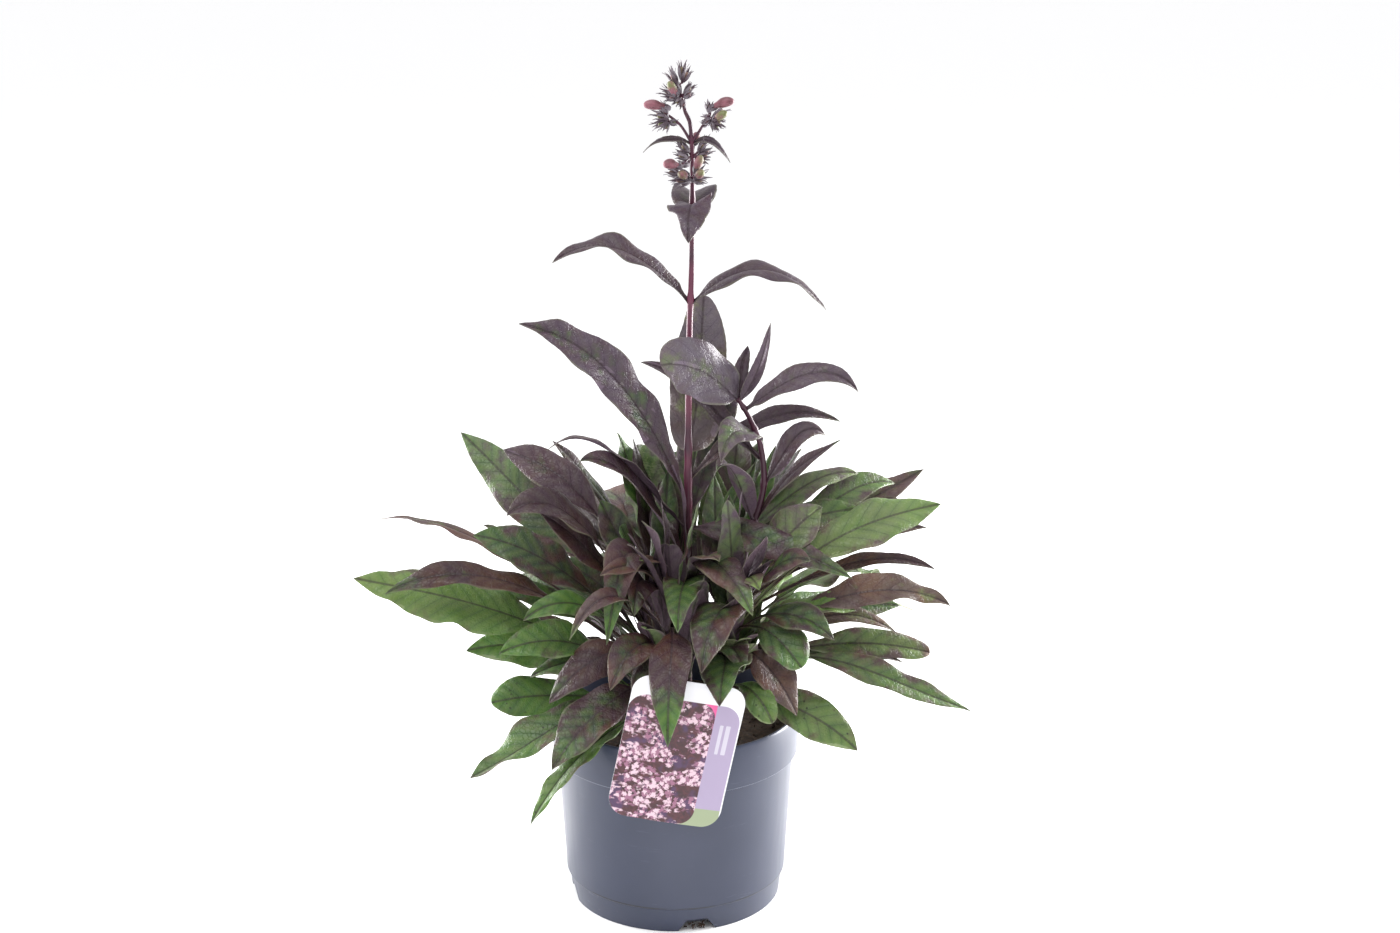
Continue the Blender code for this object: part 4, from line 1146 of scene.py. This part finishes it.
def flower_head():
    """Sepals, young buds and the short stalks under them, as three meshes."""
    sepals, young, stalks = bmesh.new(), bmesh.new(), bmesh.new()
    for points in BRANCHES:
        add_tube(stalks, points, lambda share: 1.1 - 0.2 * share, 10, 14)
    rng = random.Random(11)
    for kind, foot, end in far_side(FLORETS, rng):
        way = end - foot
        joint = nearest_joint(foot)
        knee = joint.lerp(foot, 0.6) - Vector((0, 0, 0.6))
        if (foot - joint).length > 0.8:
            add_tube(stalks, (joint, knee, foot + way * 0.1), lambda share: 0.65, 7, 6)
        spin = rng.uniform(0, math.tau)
        sepal = way.length * (0.95 if kind == "calyx" else 0.62)
        add_sepals(sepals, aim(foot, way, spin), 5, sepal, 2.6, rng.uniform(0.06, 0.34))
        if kind == "calyx":
            add_egg(young, foot + way * 0.12, foot + way * 0.62, 1.5, 8, 6)
        else:
            add_egg(young, foot + way * 0.1, end, 3.1 if kind == "green" else 2.9, 16, 12, 0.15)
    for _, bud_foot, bud_end, _ in BUDS:
        foot = Vector(bud_foot)
        way = Vector(bud_end) - foot
        joint = nearest_joint(foot)
        add_sepals(sepals, aim(foot - way * 0.12, way), 5, 8.0, 3.2, 0.2)
        add_tube(stalks, (joint, joint.lerp(foot, 0.6), foot), lambda share: 0.75, 7, 6)
    bmesh.ops.solidify(sepals, geom=sepals.faces[:], thickness=0.3)
    return sepals, young, stalks


def bud_body(foot, end, radius):
    """A closed tubular flower bud with a pinched mouth; its small calyx is made with the flower head."""
    bm = bmesh.new()
    axis = Vector(end) - Vector(foot)
    verts = add_egg(bm, foot, end, radius, 20, 16, 0.22)
    for vert in verts:
        share = (vert.co - Vector(foot)).dot(axis) / axis.length_squared
        middle = Vector(foot) + axis * share
        pinch = 1 - 0.18 * math.exp(-(((share - 0.28) / 0.12) ** 2))
        vert.co = middle + (vert.co - middle) * pinch + Vector((0, 0, 0.9 * math.sin(math.pi * share)))
    return bm


def sepal_skin(look):
    """Calyx of a bronze penstemon: small leathery purple-grey sepals with a dull bloom and sticky hairs."""
    made, tree, shader = new_material("calyx_skin")
    place = add(tree, "TexCoord", out="Object")
    cloud = add(tree, "TexNoise", {"Vector": place, "Scale": 1 / 0.009, "Detail": 3.0})
    tone = add(tree, "MapRange", (cloud, 0.38, 0.62, 0.0, 1.0))
    colour = add(tree, "Mix", {0: tone, 6: look.sepal_colour, 7: look.sepal_light}, **COLOUR_MIX)
    hairs = add(tree, "TexNoise", {"Vector": place, "Scale": 1 / 0.0006, "Detail": 2.0})
    bump = add(tree, "Bump", {"Height": hairs, "Distance": 0.0001, "Strength": 0.6})
    plug(tree, shader, {"Base Color": colour, "Roughness": 0.55, "Normal": bump})
    return made


def petal_skin(name, first, second):
    """Closed penstemon bud: thin matt petal tissue, paler in soft patches, with fine down as a bump."""
    made, tree, shader = new_material(name)
    place = add(tree, "TexCoord", out="Object")
    cloud = add(tree, "TexNoise", {"Vector": place, "Scale": 1 / 0.007, "Detail": 3.0})
    tone = add(tree, "MapRange", (cloud, 0.36, 0.62, 0.0, 1.0))
    colour = add(tree, "Mix", {0: tone, 6: first, 7: second}, **COLOUR_MIX)
    down = add(tree, "TexNoise", {"Vector": place, "Scale": 1 / 0.0007, "Detail": 2.0})
    bump = add(tree, "Bump", {"Height": down, "Distance": 0.00012, "Strength": 0.5})
    plug(tree, shader, {"Base Color": colour, "Roughness": 0.5, "Normal": bump, "Sheen Weight": 0.15})
    return made


# --- Label --------------------------------------------------------------------------------------


def label_body():
    """The rounded card, slightly bent to the pot, and the tongue that hooks over the rim."""
    bm = bmesh.new()
    bmesh.ops.create_cube(bm, size=1)
    bmesh.ops.scale(bm, vec=(LABEL_WIDTH, LABEL_THICK, LABEL_HEIGHT), verts=bm.verts)
    middle = LABEL_HEIGHT / 2 - LABEL_BELOW_RIM
    bmesh.ops.translate(bm, vec=(0, -LABEL_THICK / 2, middle), verts=bm.verts)
    corners = [edge for edge in bm.edges if abs(edge.verts[0].co.y - edge.verts[1].co.y) > LABEL_THICK / 2]
    bmesh.ops.bevel(
        bm, geom=corners, offset=LABEL_CORNER, segments=12, profile=0.5, affect="EDGES", material=-1
    )
    soften(bm, 60, 0.12, 2)
    # Cuts across and up the card let it bend smoothly.
    across = (0, -LABEL_WIDTH / 2, LABEL_WIDTH / 2)
    upwards = (2, -LABEL_BELOW_RIM, LABEL_HEIGHT - LABEL_BELOW_RIM)
    for axis, low, high in (across, upwards):
        count = int((high - low) / LABEL_FACET)
        for index in range(1, count + 1):
            point = Vector((0, 0, 0))
            point[axis] = low + (high - low) * index / (count + 1)
            normal = Vector((0, 0, 0))
            normal[axis] = 1
            bmesh.ops.bisect_plane(
                bm, geom=bm.verts[:] + bm.edges[:] + bm.faces[:], dist=0.0001, plane_co=point, plane_no=normal
            )
    card_x = bm.verts.layers.float.new("card_x")
    card_z = bm.verts.layers.float.new("card_z")
    bm.normal_update()
    for face in bm.faces:
        face.material_index = 0 if face.normal.y < -0.5 else 1
    for vert in bm.verts:
        vert[card_x] = vert.co.x
        vert[card_z] = vert.co.z
        bend = LABEL_BEND * (vert.co.x / (LABEL_WIDTH / 2)) ** 2
        vert.co.y += bend - LABEL_KICK * (min(0.0, vert.co.z) / LABEL_BELOW_RIM) ** 2
    inside = WALL + 5.5
    side_view = (
        (-LABEL_THICK / 2, 4.0),
        (-LABEL_THICK / 2, 9.0),
        (inside + LABEL_THICK, 9.0),
        (inside + LABEL_THICK, HOOK_BOTTOM),
        (inside, HOOK_BOTTOM),
        (inside, 4.0),
    )
    tongue = [bm.verts.new((-HOOK_WIDTH / 2, y, z)) for y, z in side_view]
    face = bm.faces.new(tongue)
    face.material_index = 1
    pushed = bmesh.ops.extrude_face_region(bm, geom=[face])["geom"]
    moved = [item for item in pushed if isinstance(item, bmesh.types.BMVert)]
    bmesh.ops.translate(bm, vec=(HOOK_WIDTH, 0, 0), verts=moved)
    for item in pushed:
        if isinstance(item, bmesh.types.BMFace):
            item.material_index = 1
    turn = Euler((0, math.radians(LABEL_LEAN), math.radians(LABEL_TURN))).to_matrix().to_4x4()
    place = Matrix.Translation((2, -RIM_RADIUS - 0.4, POT_HEIGHT)) @ turn
    bmesh.ops.transform(bm, matrix=place, verts=bm.verts)
    return bm


def add_rounded(tree, spot, low, high, radius):
    """Adds nodes that give 1 inside a rounded rectangle of the card and 0 outside it."""
    middle = ((low[0] + high[0]) / 2, (low[1] + high[1]) / 2, 0.0)
    half = ((high[0] - low[0]) / 2 - radius, (high[1] - low[1]) / 2 - radius, 1.0)
    centred = add(tree, "VectorMath", (spot, middle), operation="SUBTRACT")
    folded = add(tree, "VectorMath", (centred,), operation="ABSOLUTE")
    beyond = add(tree, "VectorMath", (folded, half), operation="SUBTRACT")
    clipped = add(tree, "VectorMath", (beyond, (0.0, 0.0, 0.0)), operation="MAXIMUM")
    length = add(tree, "VectorMath", (clipped,), out="Value", operation="LENGTH")
    return add(tree, "MapRange", (length, radius - 0.1, radius + 0.1, 1.0, 0.0))


def label_picture(tree, look, spot):
    """Heads of small pink flowers, in loose bands over dark and purplish foliage."""
    leafy = {"Vector": spot, "Scale": 0.16, "Detail": 6.0, "Roughness": 0.7, "Distortion": 1.5}
    leafage = add(tree, "MapRange", (add(tree, "TexNoise", leafy), 0.35, 0.65, 0.0, 1.0))
    picture = add(tree, "Mix", {0: leafage, 6: look.picture_dark, 7: look.picture_leaf}, **COLOUR_MIX)
    purple = add(tree, "TexNoise", {"Vector": spot, "Scale": 0.07, "Detail": 2.0})
    purple = add(tree, "MapRange", (purple, 0.52, 0.62, 0.0, 0.55))
    picture = add(tree, "Mix", {0: purple, 6: picture, 7: look.picture_purple}, **COLOUR_MIX)
    band = {"Vector": spot, "Rotation": (0, 0, 0.5), "Scale": (0.035, 0.075, 1), "Location": (1.9, 0.4, 0)}
    stretched = add(tree, "Mapping", band)
    heads = add(tree, "TexNoise", {"Vector": stretched, "Scale": 1.0, "Detail": 3.0, "Roughness": 0.6})
    heads = add(tree, "MapRange", (heads, 0.46, 0.50, 0.0, 1.0))
    wobble = add(tree, "TexNoise", {"Vector": spot, "Scale": 0.75, "Detail": 2.0}, out="Color")
    wobble = add(tree, "VectorMath", (wobble, (5.0, 5.0, 0.0)), operation="MULTIPLY")
    moved = add(tree, "VectorMath", (spot, wobble))
    for size, colour, wide in ((0.34, look.picture_shade, 0.46), (0.27, look.picture_flower, 0.40)):
        petals = add(tree, "TexVoronoi", {"Vector": moved, "Scale": size}, out="Distance")
        petals = add(tree, "MapRange", (petals, wide, wide + 0.10, 1.0, 0.0))
        petals = add(tree, "Math", (petals, heads), operation="MULTIPLY")
        picture = add(tree, "Mix", {0: petals, 6: picture, 7: colour}, **COLOUR_MIX)
    return picture


def printed_card(look):
    """Glossy printed polystyrene label: a flower picture, a lilac strip and a pale corner, under varnish."""
    made, tree, shader = new_material("printed_label_card")
    x = add(tree, "Attribute", out="Fac", attribute_name="card_x")
    z = add(tree, "Attribute", out="Fac", attribute_name="card_z")
    spot = add(tree, "CombineXYZ", (x, z, 0.0))
    low, right = -LABEL_BELOW_RIM, LABEL_WIDTH / 2
    pink = add(tree, "MapRange", (z, 0.0, 1.0, 0.0, 1.0))
    body = add(tree, "Mix", {0: pink, 6: look.strip_colour, 7: look.wedge_colour}, **COLOUR_MIX)
    strip = add(tree, "MapRange", (x, STRIP_START - 0.1, STRIP_START + 0.1, 0.0, 1.0))
    body = add(tree, "Mix", {0: strip, 6: body, 7: look.strip_colour}, **COLOUR_MIX)
    foot = add(tree, "MapRange", (z, low + PRINT_FOOT + 0.2, low + PRINT_FOOT - 0.2, 0.0, 1.0))
    body = add(tree, "Mix", {0: foot, 6: body, 7: look.corner_colour}, **COLOUR_MIX)
    for sides in BARS:
        bar = add_rounded(tree, spot, *zip(sides, BAR_ENDS), 0.6)
        bar = add(tree, "Math", (bar, 0.45), operation="MULTIPLY")
        body = add(tree, "Mix", {0: bar, 6: body, 7: look.paper_colour}, **COLOUR_MIX)
    # Each outline runs off the card where its corners don't show.
    framed = add_rounded(tree, spot, (-right - 20, low), (STRIP_START, PRINT_TOP), LABEL_CORNER - 2)
    body = add(tree, "Mix", {0: framed, 6: body, 7: label_picture(tree, look, spot)}, **COLOUR_MIX)
    top_right = add_rounded(tree, spot, (-right - 20, low - 20), (right - 1, PRINT_TOP), LABEL_CORNER)
    top_left = add_rounded(tree, spot, (-right - 0.5, low - 20), (right + 20, PRINT_TOP), LABEL_CORNER)
    printed = add(tree, "Math", (top_right, top_left), operation="MULTIPLY")
    colour = add(tree, "Mix", {0: printed, 6: look.paper_colour, 7: body}, **COLOUR_MIX)
    plug(tree, shader, {"Base Color": colour, "Roughness": 0.3, "IOR": 1.5})
    return made


def white_card(look):
    """Unprinted white polystyrene sheet: smooth and slightly glossy, with faint handling marks."""
    made, tree, shader = new_material("white_label_card")
    place = add(tree, "TexCoord", out="Object")
    marks = add(tree, "TexNoise", {"Vector": place, "Scale": 1 / 0.012, "Detail": 4.0})
    rough = add(tree, "MapRange", (marks, 0.3, 0.7, 0.28, 0.42))
    plug(tree, shader, {"Base Color": look.paper_colour, "Roughness": rough})
    return made


# --- Settings -----------------------------------------------------------------------------------


def colour_property(name, code, description):
    """A colour setting whose default is an sRGB hex value."""
    return bpy.props.FloatVectorProperty(
        name=name,
        description=description,
        subtype="COLOR",
        size=4,
        min=0.0,
        max=1.0,
        default=linear(code),
    )


def length_property(name, description, default, least, most):
    """A length setting, in metres."""
    return bpy.props.FloatProperty(
        name=name, description=description, default=default, min=least, max=most, unit="LENGTH"
    )


class PenstemonPotSettings(bpy.types.PropertyGroup):
    colour: colour_property("Pot colour", "2b3145", "Colour of the moulded plastic")
    dust_colour: colour_property("Dusty colour", "373c51", "Colour where the plastic is dusty")
    # Painted shade: the dark line along the step above the foot.
    scuff_colour: colour_property("Scuff colour", "6f7384", "Colour of rubbed marks near the foot")
    step_shade_colour: colour_property("Step shade colour", "1c1a1c", "Colour of the painted shade in the step above the foot")
    roughness: bpy.props.FloatProperty(
        name="Roughness",
        description="How dull the plastic is",
        default=0.31,
        min=0.1,
        max=1.0,
        subtype="FACTOR",
    )


class PenstemonSoilSettings(bpy.types.PropertyGroup):
    dark_colour: colour_property("Wet soil", "1c120d", "Colour of the moist peat")
    light_colour: colour_property("Dry soil", "4a372a", "Colour of drier crumbs")
    crumbs: bpy.props.IntProperty(
        name="Crumbs", description="Loose crumbs on the soil", default=420, min=0, max=900
    )
    crumb_size: length_property("Crumb size", "Half the width of a crumb", 0.0012, 0.0004, 0.004)


class PenstemonStemSettings(bpy.types.PropertyGroup):
    stem_colour: colour_property("Stem", "652b42", "Colour of the living stems")
    stem_shade: colour_property("Stem shade", "3a1a2b", "Darker colour of the stems")
    bark_dark: colour_property("Dark bark", "2e1d1c", "Colour of the crown's bark")
    bark_light: colour_property("Light bark", "6a5246", "Colour of peeling bark")


class PenstemonLeafSettings(bpy.types.PropertyGroup):
    bright_green: colour_property("Bright green", "4a7426", "Colour of the lowest leaves")
    deep_green: colour_property("Deep green", "304228", "Colour of the green of darker leaves")
    maroon: colour_property("Maroon", "3c151e", "Colour of the purple flush")
    bronze: colour_property("Bronze", "52291c", "Colour of the browner flush")
    olive: colour_property("Olive", "84894c", "Colour that the lighter leaves and tips turn to")
    # Painted sheen over a thin real waxy coat: the grey-lilac that greys the upper leaves.
    bloom_and_sheen_colour: colour_property("Bloom", "68667c", "Colour of the waxy bloom")
    under_green: colour_property("Green underside", "74875c", "Underside of a green leaf")
    under_purple: colour_property("Purple underside", "6c5362", "Underside of a flushed leaf")
    vein_colour: colour_property("Veins", "2b1b22", "Colour of midrib and side veins")
    # Painted highlight: the lighter green between the veins, where the quilting catches the light.
    quilt_highlight_colour: colour_property("Highlight between veins", "8b9a4c", "Painted highlight on the tissue between the veins")
    margin_colour: colour_property("Margin", "8b9070", "Colour of the thin margin")
    splash_colour: colour_property("Soil splash", "1f1812", "Colour of splashed soil")
    thickness: length_property("Thickness", "Thickness of a blade", 0.0005, 0.0002, 0.002)
    ripple: length_property("Ripple", "Height of the margin's waves", 0.0016, 0.0, 0.006)
    vein_spacing: length_property("Vein spacing", "Distance between side veins", 0.012, 0.004, 0.03)
    tooth_spacing: length_property("Tooth spacing", "Distance between teeth", 0.0052, 0.002, 0.02)


class PenstemonFlowerSettings(bpy.types.PropertyGroup):
    sepal_colour: colour_property("Sepals", "3d2b36", "Colour of the calyces")
    sepal_light: colour_property("Light sepals", "726a72", "Colour of the greyer calyces")
    bud_colour: colour_property("Buds", "52262f", "Colour of the pink buds")
    bud_pale: colour_property("Pale buds", "7e4a56", "Paler colour of the pink buds")
    young_colour: colour_property("Young buds", "62663c", "Colour of the young green buds")
    young_flush: colour_property("Flushed young buds", "7c4a55", "Colour of young buds that turn pink")


class PenstemonLabelSettings(bpy.types.PropertyGroup):
    paper_colour: colour_property("Card", "dcdce0", "Colour of the unprinted card")
    strip_colour: colour_property("Strip", "9d90ab", "Colour of the side strip")
    wedge_colour: colour_property("Wedge", "d0508c", "Colour of the small pink wedge")
    corner_colour: colour_property("Corner", "8f9a7b", "Colour of the pale foot")
    picture_dark: colour_property("Picture ground", "2a1218", "Dark foliage in the picture")
    picture_leaf: colour_property("Picture foliage", "52242c", "Lighter foliage in the picture")
    picture_purple: colour_property("Picture shadows", "4a3563", "Bluish foliage in the picture")
    picture_shade: colour_property("Flower shade", "8f5f78", "Shaded flowers in the picture")
    picture_flower: colour_property("Flowers", "d0b4c0", "Bright flowers in the picture")


class PenstemonStageSettings(bpy.types.PropertyGroup):
    floor_colour: colour_property("Floor", "fafafb", "Colour of the studio floor")
    sky: bpy.props.FloatProperty(
        name="Sky", description="Brightness all round", default=1.03, min=0.0, max=5.0
    )
    key: bpy.props.FloatProperty(
        name="Key light", description="Power of the soft light overhead", default=22.0, min=0.0, unit="POWER"
    )
    rim: bpy.props.FloatProperty(
        name="Rim lights", description="Power of the lights behind", default=30.0, min=0.0, unit="POWER"
    )


# --- Operators ----------------------------------------------------------------------------------


class PENSTEMON_OT_pot(bpy.types.Operator):
    """Makes the moulded nursery pot with its drain notches"""

    bl_idname = "penstemon.pot"
    bl_label = "Pot"

    def execute(self, context):
        look = context.scene.penstemon_pot
        bm = cut(pot_body(), drain_cutter())
        finish("nursery_pot", bm, [moulded_polypropylene(look)], "pot", ["pot"], sharp=25)
        return {"FINISHED"}


class PENSTEMON_OT_soil(bpy.types.Operator):
    """Makes the potting soil and its loose crumbs"""

    bl_idname = "penstemon.soil"
    bl_label = "Soil"

    def execute(self, context):
        look = context.scene.penstemon_soil
        peat = potting_soil(look)
        finish("potting_soil", soil_body(), [peat], "soil", ["soil"], sharp=50)
        crumbs = soil_crumbs(look.crumbs, look.crumb_size * 1000)
        finish("soil_crumbs", crumbs, [peat], "soil", sharp=80)
        return {"FINISHED"}


class PENSTEMON_OT_crown(bpy.types.Operator):
    """Makes the woody crown with its short leafy shoots"""

    bl_idname = "penstemon.crown"
    bl_label = "Crown"

    def execute(self, context):
        bark = woody_bark(context.scene.penstemon_stems)
        finish("woody_crown", crown_body(), [bark], "crown", ["crown"], sharp=60)
        return {"FINISHED"}


class PENSTEMON_OT_stems(bpy.types.Operator):
    """Makes the flowering stem and the shorter second stem"""

    bl_idname = "penstemon.stems"
    bl_label = "Stems"

    def execute(self, context):
        look = context.scene.penstemon_stems
        skin = smooth_stem("young_stem_skin", look, 0.0)
        finish("main_stem", stem_body("main", rings=260), [skin], "stem", ["flower_stem"], sharp=60)
        skin = smooth_stem("ripe_stem_skin", look, 0.85)
        finish("side_stem", stem_body("second"), [skin], "stem", ["second_stem"], sharp=60)
        return {"FINISHED"}


class PENSTEMON_OT_leaves(bpy.types.Operator):
    """Makes every leaf, in the order of their rows and then of the tiers"""

    bl_idname = "penstemon.leaves"
    bl_label = "Leaves"

    def execute(self, context):
        look = context.scene.penstemon_leaves
        skins = {}
        for slot in ("leaf_green", "leaf_bronze", "leaf_purple"):
            sides = (("_upper", True), ("_under", False))
            skins[slot] = [living_leaf(slot + side, look, upper) for side, upper in sides]
        for number, row in enumerate((*LEAVES, *filling_leaves())):
            slot = leaf_slot(row.blush)
            nodes = [row.name] if row.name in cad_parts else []
            name = row.name.replace("leaf_", "blade_")
            finish(name, leaf_body(row, look, number + 1), skins[slot], slot, nodes, sharp=70, recalc=False)
        return {"FINISHED"}


class PENSTEMON_OT_flowers(bpy.types.Operator):
    """Makes the flower head: calyces, young buds, flower stalks and the larger buds"""

    bl_idname = "penstemon.flowers"
    bl_label = "Flower head"

    def execute(self, context):
        look = context.scene.penstemon_flowers
        sepals, young, stalks = flower_head()
        skin = smooth_stem("flower_stalk_skin", context.scene.penstemon_stems, 0.6)
        green = petal_skin("young_bud_skin", look.young_colour, look.young_flush)
        pink = petal_skin("bud_skin", look.bud_colour, look.bud_pale)
        finish("calyces", sepals, [sepal_skin(look)], "stem", ["flower_stem"], sharp=50)
        finish("young_buds", young, [green], "bud", ["flower_stem"], sharp=60)
        finish("flower_stalks", stalks, [skin], "stem", ["flower_stem"], sharp=60)
        for name, foot, end, radius in BUDS:
            piece = name.replace("bud", "pink_bud")
            finish(piece, bud_body(foot, end, radius), [pink], "bud", [name], sharp=60)
        return {"FINISHED"}


class PENSTEMON_OT_label(bpy.types.Operator):
    """Makes the picture label that hooks over the rim"""

    bl_idname = "penstemon.label"
    bl_label = "Label"

    def execute(self, context):
        look = context.scene.penstemon_label
        cards = [printed_card(look), white_card(look)]
        finish("picture_label", label_body(), cards, "label", ["label"], sharp=30)
        return {"FINISHED"}


class PENSTEMON_OT_stage(bpy.types.Operator):
    """Makes the pale floor, the soft studio lights and the camera"""

    bl_idname = "penstemon.stage"
    bl_label = "Stage"

    def execute(self, context):
        look = context.scene.penstemon_stage
        scene = context.scene
        bm = bmesh.new()
        bmesh.ops.create_grid(bm, x_segments=1, y_segments=1, size=FLOOR_HALF_WIDTH)
        mesh = bpy.data.meshes.new("studio_floor")
        bm.to_mesh(mesh)
        bm.free()
        made, tree, shader = new_material("painted_studio_floor")
        plug(tree, shader, {"Base Color": look.floor_colour, "Roughness": 0.7})
        mesh.materials.append(made)
        floor = bpy.data.objects.new("studio_floor", mesh)
        scene.collection.objects.link(floor)
        world = bpy.data.worlds.new("studio_sky")
        world.use_nodes = True
        sky = world.node_tree.nodes["Background"]
        plug(world.node_tree, sky, {"Color": (1, 1, 1, 1), "Strength": look.sky})
        scene.world = world
        lights = (
            ("key_light", (-0.4, -0.7, 2.0), 1.2, look.key),
            ("left_rim_light", (-1.1, 0.55, 0.4), 0.8, look.rim),
            ("right_rim_light", (1.1, 0.55, 0.4), 0.8, look.rim * 1.7),
        )
        for name, place, size, power in lights:
            light = bpy.data.lights.new(name, "AREA")
            light.size = size
            light.energy = power
            lamp = bpy.data.objects.new(name, light)
            lamp.location = place
            lamp.rotation_euler = (LIGHTS_AIM - Vector(place)).to_track_quat("-Z", "Y").to_euler()
            scene.collection.objects.link(lamp)
        view = bpy.data.cameras.new("camera")
        view.lens = CAMERA_LENS
        view.sensor_width = CAMERA_SENSOR
        camera = bpy.data.objects.new("camera", view)
        camera.location = CAMERA_PLACE
        camera.rotation_euler = (math.radians(CAMERA_TILT), 0, 0)
        scene.collection.objects.link(camera)
        scene.camera = camera
        scene.view_settings.view_transform = "Standard"
        return {"FINISHED"}


class PENSTEMON_PT_panel(bpy.types.Panel):
    """Lists the pieces of the penstemon and their settings"""

    bl_idname = "PENSTEMON_PT_panel"
    bl_label = "Potted penstemon"
    bl_space_type = "VIEW_3D"
    bl_region_type = "UI"
    bl_category = "Penstemon"

    def draw(self, context):
        for operator, group in STEPS:
            box = self.layout.box()
            box.operator(operator.bl_idname)
            settings = getattr(context.scene, group)
            for name in settings.__annotations__:
                box.prop(settings, name)


SETTINGS = {
    "penstemon_pot": PenstemonPotSettings,
    "penstemon_soil": PenstemonSoilSettings,
    "penstemon_stems": PenstemonStemSettings,
    "penstemon_leaves": PenstemonLeafSettings,
    "penstemon_flowers": PenstemonFlowerSettings,
    "penstemon_label": PenstemonLabelSettings,
    "penstemon_stage": PenstemonStageSettings,
}
STEPS = (
    (PENSTEMON_OT_pot, "penstemon_pot"),
    (PENSTEMON_OT_soil, "penstemon_soil"),
    (PENSTEMON_OT_crown, "penstemon_stems"),
    (PENSTEMON_OT_stems, "penstemon_stems"),
    (PENSTEMON_OT_leaves, "penstemon_leaves"),
    (PENSTEMON_OT_flowers, "penstemon_flowers"),
    (PENSTEMON_OT_label, "penstemon_label"),
    (PENSTEMON_OT_stage, "penstemon_stage"),
)


def register():
    for name, group in SETTINGS.items():
        bpy.utils.register_class(group)
        setattr(bpy.types.Scene, name, bpy.props.PointerProperty(type=group))
    for operator, _ in STEPS:
        bpy.utils.register_class(operator)
    bpy.utils.register_class(PENSTEMON_PT_panel)


def unregister():
    bpy.utils.unregister_class(PENSTEMON_PT_panel)
    for operator, _ in reversed(STEPS):
        bpy.utils.unregister_class(operator)
    for name, group in reversed(SETTINGS.items()):
        delattr(bpy.types.Scene, name)
        bpy.utils.unregister_class(group)


def main():
    register()
    for operator, _ in STEPS:
        getattr(bpy.ops.penstemon, operator.bl_idname.split(".")[1])()


if __name__ == "__main__":
    main()
